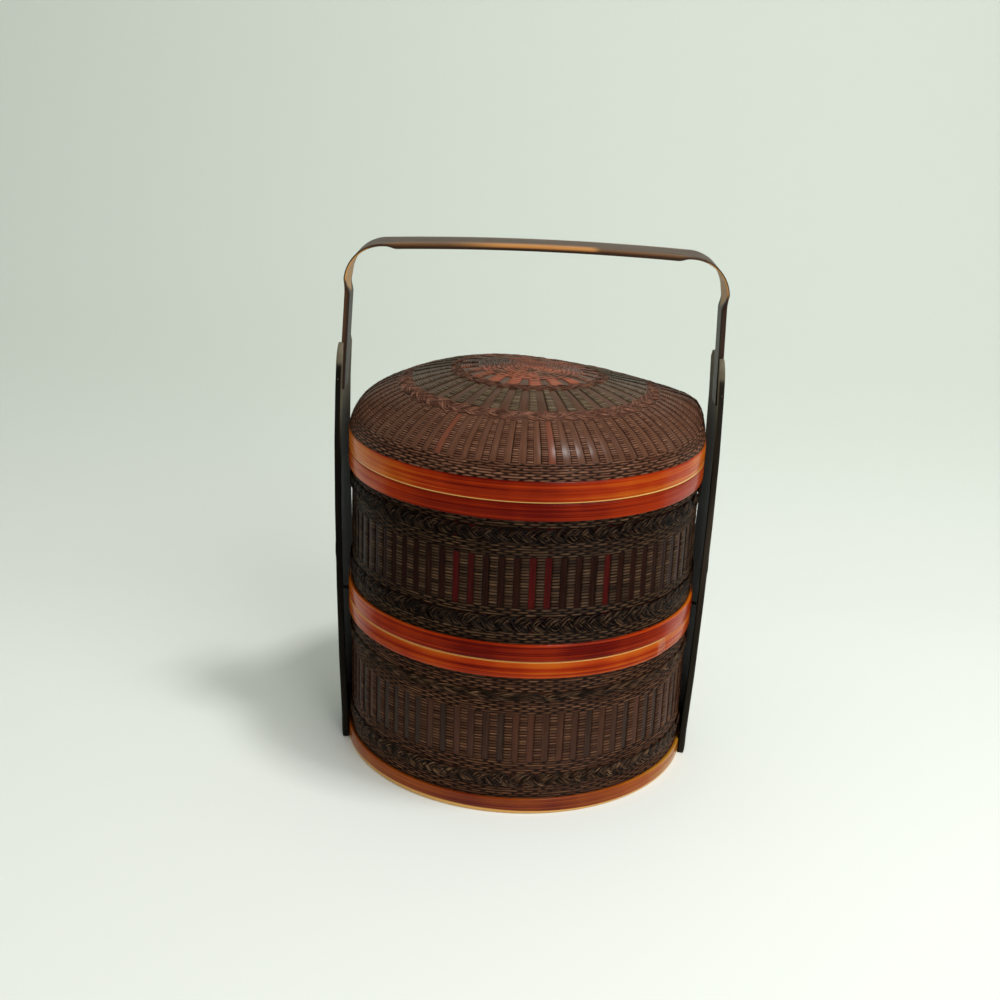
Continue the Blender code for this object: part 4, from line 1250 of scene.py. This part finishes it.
def splint_finish(name, dark, worn, wear, dust, rough, red=None, reds=0.0, groove_shade=0.12):
    """Stained splints, with painted shade that darkens their hollows and grooves, and thin painted
    highlights, partly rubbed wear, along their crests.
    """
    finish = Finish(name)
    tree = finish.tree
    grain = finish.grain(45.0, 3000.0, 28.0)
    tone = attribute(tree, "tone")
    crest = attribute(tree, "crest")
    depth = times_add(tree, grain["Streak"], 1.0, times_add(tree, tone, 0.9, -0.5), clamp=True)
    base = mix_colours(tree, depth, dark, mix_colours(tree, 0.20, dark, worn))
    if red is not None:
        chosen = stretch(tree, grain["Blotch"], 0.62 - reds, 0.74 - reds)
        base = mix_colours(tree, chosen, base, red)
    # Painted shade: the colour darkens where the crest is low, in the hollows and in the grooves
    # between rows.
    painted_groove_shade = node(tree, "ShaderNodeVectorMath", {0: base}, operation="SCALE")
    put(tree, painted_groove_shade.inputs["Scale"], stretch(tree, crest, 0.20, 0.90, groove_shade, 1.0))
    # Painted highlight: thin light lines of the worn colour along the crests, partly rubbed wear;
    # wear sets how strong they are.
    glint = times(
        tree, stretch(tree, crest, 0.62, 1.0), stretch(tree, grain["Fibre"], 0.40, 0.60))
    glint = times(tree, glint, stretch(tree, tone, 0.20, 0.90, 0.25, 1.6))
    glint = times(tree, glint, wear, clamp=True)
    base = mix_colours(tree, glint, painted_groove_shade.outputs[0], worn)
    settled = finish.dust(dust, 45.0)
    base = mix_colours(tree, settled, base, tuple(0.75 * c + 0.01 for c in worn))
    roughness = times_add(tree, grain["Fibre"], 0.45, rough - 0.25)
    finish.surface(base, roughness, grain["Fibre"], 0.00012, 0.5)
    finish.gloss(0.0, 0.3, 0.08)
    return finish.material


def stake_finish(name, dark, red, threshold, rough, worn, dust):
    """Flat stakes, each in its own shade, some of them red."""
    finish = Finish(name)
    tree = finish.tree
    grain = finish.grain(40.0, 2200.0, 30.0)
    tone = attribute(tree, "tone")
    chosen = stretch(tree, tone, threshold, threshold + 0.12)
    base = mix_colours(tree, chosen, dark, red)
    depth = times_add(tree, grain["Streak"], 0.9, times_add(tree, grain["Blotch"], 0.9, 0.1))
    darkened = node(tree, "ShaderNodeVectorMath", {0: base}, operation="SCALE")
    put(tree, darkened.inputs["Scale"], depth)
    rubbed = times(tree, stretch(tree, grain["Fibre"], 0.50, 0.8), 0.35)
    base = mix_colours(tree, rubbed, darkened.outputs[0], worn)
    settled = finish.dust(dust, 50.0)
    base = mix_colours(tree, settled, base, tuple(0.6 * c + 0.05 for c in worn))
    roughness = times_add(tree, grain["Fibre"], 0.22, rough - 0.1)
    finish.surface(base, roughness, grain["Fibre"], 0.00006, 0.35)
    finish.gloss(0.12, 0.24, 0.08)
    return finish.material


def hoop_finish(name, colours, warmth, side_sheen, spread=1.0, tint=(1.0, 1.0, 1.0)):
    """Lacquer over long grain, from deep red through orange to amber, with painted sheen toward
    amber on the left and right sides, and a pale line at one edge: bare bamboo, but a painted
    reflection on the lower rim hoop.
    """
    finish = Finish(name)
    tree = finish.tree
    grain = finish.grain(9.0, 1700.0, 11.0)
    broad = times_add(tree, grain["Streak"], 0.9 * spread, warmth - 0.9 * spread)
    broad = times_add(tree, grain["Blotch"], 0.9 * spread, broad)
    fine = times_add(tree, grain["Fibre"], 0.5 * spread, broad)
    fine = math_node(tree, "ADD", fine, -0.25 * spread)
    # Painted sheen: the left and right sides of the hoop are pushed up the ramp toward amber.
    fine = times_add(tree, attribute(tree, "aside"), side_sheen, fine, clamp=True)
    ramp = node(tree, "ShaderNodeValToRGB", {"Fac": fine})
    steps = (
        (0.05, shade(colours.hoop_deep, 0.45)), (0.35, colours.hoop_deep),
        (0.65, colours.hoop_warm), (0.98, colours.hoop_amber))
    while len(ramp.color_ramp.elements) < len(steps):
        ramp.color_ramp.elements.new(1.0)
    for stop, (place, colour) in zip(ramp.color_ramp.elements, steps):
        stop.position = place
        stop.color = (*(c * t for c, t in zip(colour, tint)), 1.0)
    # The pale line along one edge is bare bamboo; on the lower rim hoop's top edge it is a painted
    # reflection.
    ragged = times_add(tree, grain["Streak"], 0.8, -0.4)
    gap = math_node(tree, "ADD", attribute(tree, "bare_gap"), ragged)
    pale = stretch(tree, gap, 0.75, 1.10, 1.0, 0.0)
    bare = mix_colours(tree, grain["Fibre"], shade(colours.bare, 0.6), colours.bare)
    colour = mix_colours(tree, pale, ramp.outputs["Color"], bare)
    roughness = times_add(tree, grain["Fibre"], 0.20, 0.18)
    finish.surface(colour, roughness, grain["Fibre"], 0.00006, 0.3)
    finish.gloss(0.16, 0.10, 0.10)
    return finish.material


def bare_finish(name, colour, dark, rough):
    """Bare aged bamboo with fine fibres and brown blotches."""
    finish = Finish(name)
    tree = finish.tree
    grain = finish.grain(30.0, 1700.0, 18.0)
    depth = times_add(tree, grain["Blotch"], 0.9, -0.35)
    depth = times_add(tree, grain["Fibre"], 0.7, depth, clamp=True)
    tone = stretch(tree, attribute(tree, "tone"), 0.0, 1.0, 0.6, 1.0)
    base = mix_colours(tree, times(tree, depth, tone), dark, colour)
    finish.surface(base, times_add(tree, grain["Fibre"], 0.25, rough - 0.1),
                   grain["Fibre"], 0.0001, 0.5)
    return finish.material


def lining_finish(name, colour, dark):
    """The plain weave of the lining, drawn by angle and height."""
    finish = Finish(name)
    tree = finish.tree
    places = object_places(tree)
    angle = math_node(tree, "ARCTAN2", places[1], places[0])
    weft = math_node(tree, "SINE", times(tree, places[2], 1500.0))
    warp = math_node(tree, "SINE", times(tree, angle, 79.0))
    weave_height = times(tree, weft, warp)
    patch = noise(tree, node(tree, "ShaderNodeTexCoord").outputs["Object"], 40.0, 4.0)
    depth = times_add(tree, weave_height, 0.3, patch, clamp=True)
    base = mix_colours(tree, depth, dark, colour)
    finish.surface(base, 0.6, weave_height, 0.0005, 0.7)
    return finish.material


def post_finish(name, colours):
    """A split bamboo post: dark skin outside, pale olive inner face with painted shade that
    darkens its lower part, shaved ears.

    The right post is lighter than the left.
    """
    finish = Finish(name)
    tree = finish.tree
    grain = finish.grain(12.0, 1100.0, 16.0)
    outward = attribute(tree, "tone")
    dark = colours.post_dark
    places = object_places(tree)
    # The right post's skin is lighter than the left's.
    right_side_share = stretch(tree, places[0], -0.10, 0.10)
    streak = stretch(tree, grain["Streak"], 0.35, 0.75)
    skin = mix_colours(
        tree, right_side_share, mix_colours(tree, streak, dark, shade(dark, 2.4)),
        mix_colours(tree, streak, shade(dark, 3.0), shade(dark, 8.0)))
    inner = mix_colours(tree, stretch(tree, grain["Fibre"], 0.3, 0.7),
                        shade(colours.post_pale, 0.35), colours.post_pale)
    # Painted shade: below about 0.24 m the inner face takes the dark skin colour, where it lies in
    # shade behind the basket.
    inner = mix_colours(tree, stretch(tree, places[2], 0.235, 0.300), dark, inner)
    base = mix_colours(tree, stretch(tree, outward, 0.02, 0.30), inner, skin)
    ear = times(tree, attribute(tree, "crest"), 0.8)
    base = mix_colours(tree, ear, base, shade(colours.post_pale, 0.8))
    roughness = times_add(tree, grain["Fibre"], 0.3, 0.40)
    finish.surface(base, roughness, grain["Fibre"], 0.00012, 0.5)
    finish.gloss(0.0, 0.3, 0.06)
    return finish.material


def handle_finish(name, colours):
    """The handle: stained, worn amber at the front of the grip, bare inside the bends, with
    painted highlights along the grip's edges.
    """
    finish = Finish(name)
    tree = finish.tree
    grain = finish.grain(16.0, 1300.0, 20.0)
    brown = colours.grip_brown
    dark = shade(brown, 0.35)
    base = mix_colours(tree, stretch(tree, grain["Streak"], 0.3, 0.7), dark, brown)
    places = object_places(tree)
    across, depth = places[0], places[1]
    run = attribute(tree, "run")
    inside = attribute(tree, "tone")
    within = stretch(tree, inside, 0.4, 0.7)
    leg = stretch(tree, run, 0.060, 0.080, 1.0, 0.0)
    greyed = mix_colours(tree, grain["Fibre"], (0.014, 0.008, 0.005), (0.055, 0.034, 0.022))
    base = mix_colours(tree, times(tree, leg, within), base, greyed)
    bend = times(
        tree, stretch(tree, run, 0.074, 0.079), stretch(tree, run, 0.098, 0.126, 1.0, 0.12))
    shaved = times(tree, bend, times(tree, within, stretch(tree, run, 0.128, 0.138, 1.0, 0.0)))
    tan = mix_colours(tree, grain["Fibre"], shade(colours.shaved, 0.6), colours.shaved)
    base = mix_colours(tree, shaved, base, tan)
    ragged = times_add(tree, grain["Streak"], 0.040, across)
    hand = times(
        tree, stretch(tree, ragged, -0.055, 0.000), stretch(tree, ragged, 0.058, 0.066, 1.0, 0.0))
    front = stretch(tree, times_add(tree, grain["Streak"], 0.010, depth), -0.001, -0.013)
    worn = times(tree, hand, front)
    worn = times(tree, worn, stretch(tree, inside, 0.6, 0.2))
    base = mix_colours(tree, times(tree, worn, 0.85), base, colours.grip_amber)
    grip = stretch(tree, run, 0.128, 0.142)
    # Painted highlight: the grip's long edges on its outer face are lightened toward the worn
    # amber.
    lit = times(
        tree, attribute(tree, "crest"), stretch(tree, grain["Streak"], 0.35, 0.65, 0.05, 0.7))
    lit = times(tree, lit, times(tree, grip, stretch(tree, inside, 0.5, 0.2)))
    base = mix_colours(tree, lit, base, colours.grip_amber)
    roughness = times_add(tree, grain["Fibre"], 0.20, 0.36)
    finish.surface(base, roughness, grain["Fibre"], 0.0001, 0.45)
    finish.gloss(0.0, 0.25, 0.20)
    return finish.material


def make_materials(colours):
    """Make every finish of the basket."""
    fibre_group()
    dust_group()
    weft = (colours.weft_dark, colours.weft_wear_and_glint)
    lid = (colours.lid_dark, colours.lid_wear_and_glint)
    red = colours.crown_red
    inside = colours.inside
    aged = shade(inside, 0.35)
    stake = colours.stake_dark
    return {
        "upper_tier_weft": splint_finish("dark_weft", *weft, 0.7, 0.1, 0.50),
        "lower_tier_weft": splint_finish(
            "brown_weft", (0.034, 0.011, 0.005), (0.210, 0.098, 0.048), 0.9, 0.08, 0.50),
        "upper_tier_braid": splint_finish(
            "dark_braid_splint", shade(weft[0], 0.8), shade(weft[1], 0.8), 0.7, 0.04, 0.5),
        "lower_tier_braid": splint_finish(
            "brown_braid_splint", shade(weft[0], 1.8), shade(weft[1], 1.5), 1.0, 0.15, 0.42),
        "lid_weft": splint_finish("lid_weft", *lid, 0.7, 0.12, 0.45),
        "crown_weft": splint_finish(
            "crown_weft", (0.050, 0.030, 0.015), (0.260, 0.185, 0.110), 0.8, 0.12, 0.45),
        "rosette_weft": splint_finish(
            "rosette_weft", *lid, 0.8, 0.12, 0.45, red=red, reds=0.22),
        "lid_braid": splint_finish(
            "lid_braid_splint", (0.120, 0.044, 0.024), (0.420, 0.200, 0.125), 0.9, 0.15, 0.5,
            groove_shade=0.40),
        "upper_tier_stake": stake_finish(
            "red_stake", stake, colours.stake_red, 0.55, 0.34,
            shade(weft[1], 0.4), 0.03),
        "lower_tier_stake": stake_finish(
            "brown_stake", (0.026, 0.012, 0.007), (0.062, 0.020, 0.010), 0.2, 0.38,
            shade(weft[1], 0.8), 0.05),
        "lid_stake": stake_finish(
            "lid_stake", colours.lid_stake, (0.150, 0.036, 0.018), 0.80, 0.30,
            shade(lid[1], 0.7), 0.08),
        "crown_stake": stake_finish(
            "crown_stake", (0.074, 0.034, 0.019), red, 0.85, 0.34, shade(lid[1], 0.6), 0.04),
        "lining": lining_finish("lining_weave", shade(aged, 0.3), weft[0]),
        "lid_hoop": hoop_finish("lid_hoop_lacquer", colours, 0.56, 0.34),
        "rim_hoop": hoop_finish("rim_hoop_lacquer", colours, 0.48, 0.22, 0.8),
        "upper_foot_hoop": hoop_finish("upper_foot_lacquer", colours, 0.37, 0.42),
        "lower_rim_hoop": hoop_finish("lower_rim_lacquer", colours, 0.60, 0.20),
        "foot_hoop": hoop_finish(
            "foot_hoop_lacquer", colours, 0.48, 0.20, 0.7, (0.95, 2.6, 6.0)),
        "inside": bare_finish("inside_bamboo", inside, aged, 0.55),
        "floor_strip": bare_finish(
            "floor_strip", shade(inside, 0.8), shade(aged, 0.7), 0.6),
        "post": post_finish("post_bamboo", colours),
        "handle": handle_finish("handle_bamboo", colours),
        "peg": bare_finish("peg_bamboo", shade(inside, 0.25), shade(aged, 0.3), 0.5),
    }


# The stage

def sweep_finish(name, colour, backdrop, shadow):
    """The stage's floor and backdrop; the basket's gloss sees the floor dark in front."""
    finish = Finish(name)
    tree = finish.tree
    spot = node(tree, "ShaderNodeTexCoord").outputs["Object"]
    places = node(tree, "ShaderNodeSeparateXYZ", {0: spot}).outputs
    depth, height = places[1], places[2]
    behind = stretch(tree, math_node(tree, "ADD", depth, height), 0.15, 1.0)
    plain = mix_colours(tree, behind, colour, backdrop)
    ahead = stretch(tree, depth, 0.0, 0.08, 1.0, 0.0)
    radius = node(tree, "ShaderNodeVectorMath", {0: spot}, operation="LENGTH")
    away = stretch(tree, radius.outputs["Value"], 0.22, 0.32)
    seen = node(tree, "ShaderNodeLightPath").outputs["Is Glossy Ray"]
    share = times(tree, seen, times(tree, ahead, away))
    put(tree, finish.shader.inputs["Base Color"], mix_colours(tree, share, plain, shadow))
    put(tree, finish.shader.inputs["Roughness"], 0.9)
    return finish.material


def add_lamp(name, place, size, power):
    """Hang one soft square lamp that points at the basket."""
    data = bpy.data.lights.new(name, "AREA")
    data.size = size
    data.energy = power
    lamp = add_object(name, data)
    lamp.location = place
    lamp.rotation_mode = "QUATERNION"
    lamp.rotation_quaternion = (LAMP_AIM - Vector(place)).to_track_quat("-Z", "Y")


def build_backdrop(material):
    """Lay the floor and sweep it up into the backdrop."""
    shape = bmesh.new()
    outline = [(-SWEEP_HALF_WIDTH, 0.0)]
    for step in range(25):
        turn = math.pi / 2 * step / 24
        outline.append((
            SWEEP_START + SWEEP_RADIUS * math.sin(turn), SWEEP_RADIUS * (1.0 - math.cos(turn))))
    outline.append((SWEEP_START + SWEEP_RADIUS, SWEEP_TOP))
    corners = [
        shape.verts.new((-SWEEP_HALF_WIDTH, depth, height - SWEEP_DROP))
        for depth, height in outline]
    edges = [shape.edges.new(pair) for pair in zip(corners, corners[1:])]
    swept = bmesh.ops.extrude_edge_only(shape, edges=edges)
    moved = [part for part in swept["geom"] if isinstance(part, bmesh.types.BMVert)]
    bmesh.ops.translate(shape, vec=(2.0 * SWEEP_HALF_WIDTH, 0.0, 0.0), verts=moved)
    mesh = to_mesh("studio_sweep", shape)
    mesh.shade_smooth()
    mesh.materials.append(material)
    sweep = add_object("studio_sweep", mesh)


def build_camera():
    """Set the camera where the photograph was taken from."""
    data = bpy.data.cameras.new("camera")
    data.sensor_width = SENSOR_WIDTH
    data.lens = CAMERA_LENS
    camera = add_object("camera", data)
    axes = Matrix((CAMERA_RIGHT, CAMERA_UP, CAMERA_BACK)).transposed().to_4x4()
    turn = Matrix.Rotation(CAMERA_TURN, 4, "Z")
    camera.matrix_world = turn @ Matrix.Translation(CAMERA_PLACE) @ axes
    data.clip_start = 0.05
    data.clip_end = 50.0
    bpy.context.scene.camera = camera


def build_world():
    """Light the room evenly, and let the basket's gloss see it dark in front.

    Past the edge of the sweep the camera sees the backdrop's colour.
    """
    world = bpy.data.worlds.new("room")
    world.use_nodes = True
    tree = world.node_tree
    background = tree.nodes["Background"]
    depth = node(tree, "ShaderNodeSeparateXYZ", {
        0: node(tree, "ShaderNodeTexCoord").outputs["Generated"]}).outputs[1]
    paths = node(tree, "ShaderNodeLightPath")
    seen = paths.outputs["Is Glossy Ray"]
    behind = stretch(tree, depth, times_add(tree, seen, 0.8, -0.7), 0.5)
    front = mix_colours(tree, seen, (0.80, 0.82, 0.79), (0.020, 0.020, 0.020))
    room = mix_colours(tree, behind, front, (1.0, 1.0, 0.97))
    put(tree, background.inputs["Color"], mix_colours(
        tree, paths.outputs["Is Camera Ray"], room, (1.28, 1.38, 1.24)))
    background.inputs["Strength"].default_value = 0.53
    bpy.context.scene.world = world


class BasketOperator:
    """What the basket's operators share."""

    bl_options = {"REGISTER", "UNDO"}

    def execute(self, context):
        """Make the pieces."""
        self.make(context.scene.basket_sizes, context.scene.basket_colours)
        return {"FINISHED"}


class MESH_OT_basket_finishes(BasketOperator, bpy.types.Operator):
    """Mix the finishes that the other steps use"""

    bl_idname = "mesh.basket_finishes"
    bl_label = "Finishes"

    def make(self, sizes, colours):
        """Make the materials."""
        MATERIALS.update(make_materials(colours))


class MESH_OT_basket_tiers(BasketOperator, bpy.types.Operator):
    """Weave the walls of both tiers"""

    bl_idname = "mesh.basket_tiers"
    bl_label = "Tier walls"

    def make(self, sizes, colours):
        """Weave the tiers."""
        build_tier_weave("lower_tier", sizes, 11)
        build_tier_weave("upper_tier", sizes, 21)


class MESH_OT_basket_lid(BasketOperator, bpy.types.Operator):
    """Weave the domed lid"""

    bl_idname = "mesh.basket_lid"
    bl_label = "Lid"

    def make(self, sizes, colours):
        """Weave the lid."""
        build_lid_weave(sizes)


class MESH_OT_basket_braids(BasketOperator, bpy.types.Operator):
    """Plait the braids of the tiers and the lid"""

    bl_idname = "mesh.basket_braids"
    bl_label = "Braids"

    def make(self, sizes, colours):
        """Plait the braids."""
        build_tier_braids("lower_tier", sizes, 51)
        build_tier_braids("upper_tier", sizes, 61)
        build_lid_braids()


class MESH_OT_basket_hoops(BasketOperator, bpy.types.Operator):
    """Bend the lacquered hoops and the bare rings inside"""

    bl_idname = "mesh.basket_hoops"
    bl_label = "Hoops and rings"

    def make(self, sizes, colours):
        """Make the hoops and rings."""
        hoops = (
            ("lid_rim_hoop", "lid", "lid_hoop", 100.0, 1.3, -1, 1.3),
            ("upper_tier_rim_hoop", "upper_tier", "rim_hoop", 75.0, 0.0, -1, 2.9),
            ("upper_tier_foot_hoop", "upper_tier", "upper_foot_hoop", 130.0, 0.4, -1, 4.1),
            # The pale line along this hoop's top edge is a painted reflection.
            ("lower_tier_rim_hoop", "lower_tier", "lower_rim_hoop", -38.0, 0.5, 1, 5.3),
            ("lower_tier_foot_hoop", "lower_tier", "foot_hoop", 60.0, 2.0, -1, 3.9),
        )
        for node_name, body, finish, lap, edge_line_width, edge_line_side, seed in hoops:
            build_hoop(
                node_name, body, MATERIALS[finish], lap, edge_line_width * MM, edge_line_side, seed)
        rings = (
            ("lower_tier_foot_ring", "lower_tier"), ("lower_tier_collar", "lower_tier"),
            ("upper_tier_foot_ring", "upper_tier"), ("upper_tier_collar", "upper_tier"),
            ("lid_inner_ring", "lid"))
        for number, (node_name, body) in enumerate(rings):
            build_inner_ring(node_name, body, 1.7 * number)


class MESH_OT_basket_floors(BasketOperator, bpy.types.Operator):
    """Weave the floors and lay their battens"""

    bl_idname = "mesh.basket_floors"
    bl_label = "Floors"

    def make(self, sizes, colours):
        """Make the floors."""
        build_floor("lower_tier", sizes, 71)
        build_floor("upper_tier", sizes, 72)


class MESH_OT_basket_carrier(BasketOperator, bpy.types.Operator):
    """Make the posts, the handle and their pegs"""

    bl_idname = "mesh.basket_carrier"
    bl_label = "Posts and handle"

    def make(self, sizes, colours):
        """Make the carrier."""
        build_post("left_post", -1)
        build_post("right_post", 1)
        build_handle()
        for side in ("left", "right"):
            for place in ("leg", "foot", "rim"):
                build_peg(f"{side}_{place}_peg")


class MESH_OT_basket_stage(BasketOperator, bpy.types.Operator):
    """Set the floor, the lamps and the camera"""

    bl_idname = "mesh.basket_stage"
    bl_label = "Stage"

    def make(self, sizes, colours):
        """Build the stage."""
        build_backdrop(sweep_finish(
            "stage_sweep", colours.floor, colours.backdrop, (0.03, 0.03, 0.03)))
        build_camera()
        build_world()
        add_lamp("ceiling", (0.42, -0.24, 1.75), 0.26, 12.0)
        add_lamp("window", (1.10, -1.40, 1.15), 1.6, 25.0)
        bpy.context.scene.view_settings.view_transform = "Standard"


STEPS = (
    MESH_OT_basket_finishes, MESH_OT_basket_tiers, MESH_OT_basket_lid, MESH_OT_basket_braids,
    MESH_OT_basket_hoops, MESH_OT_basket_floors, MESH_OT_basket_carrier, MESH_OT_basket_stage)


class VIEW3D_PT_basket(bpy.types.Panel):
    """The basket's panel in the 3D view's sidebar."""

    bl_label = "Food basket"
    bl_space_type = "VIEW_3D"
    bl_region_type = "UI"
    bl_category = "Basket"

    def draw(self, context):
        """List the sizes, the colours and the steps."""
        layout = self.layout
        for group in (context.scene.basket_sizes, context.scene.basket_colours):
            column = layout.column()
            for name in group.bl_rna.properties.keys():
                if name not in ("rna_type", "name"):
                    column.prop(group, name)
        for step in STEPS:
            layout.operator(step.bl_idname)


def register():
    """Register the classes and the settings."""
    for item in (BasketSizes, BasketColours, *STEPS, VIEW3D_PT_basket):
        bpy.utils.register_class(item)
    bpy.types.Scene.basket_sizes = bpy.props.PointerProperty(type=BasketSizes)
    bpy.types.Scene.basket_colours = bpy.props.PointerProperty(type=BasketColours)


def unregister():
    """Take the settings and the classes away again."""
    del bpy.types.Scene.basket_colours
    del bpy.types.Scene.basket_sizes
    for item in (VIEW3D_PT_basket, *reversed(STEPS), BasketColours, BasketSizes):
        bpy.utils.unregister_class(item)


def main():
    """Run every step in order."""
    register()
    for step in STEPS:
        family, name = step.bl_idname.split(".")
        result = getattr(getattr(bpy.ops, family), name)()
        if result != {"FINISHED"}:
            raise RuntimeError(f"{step.bl_label} did not finish")


if __name__ == "__main__":
    main()
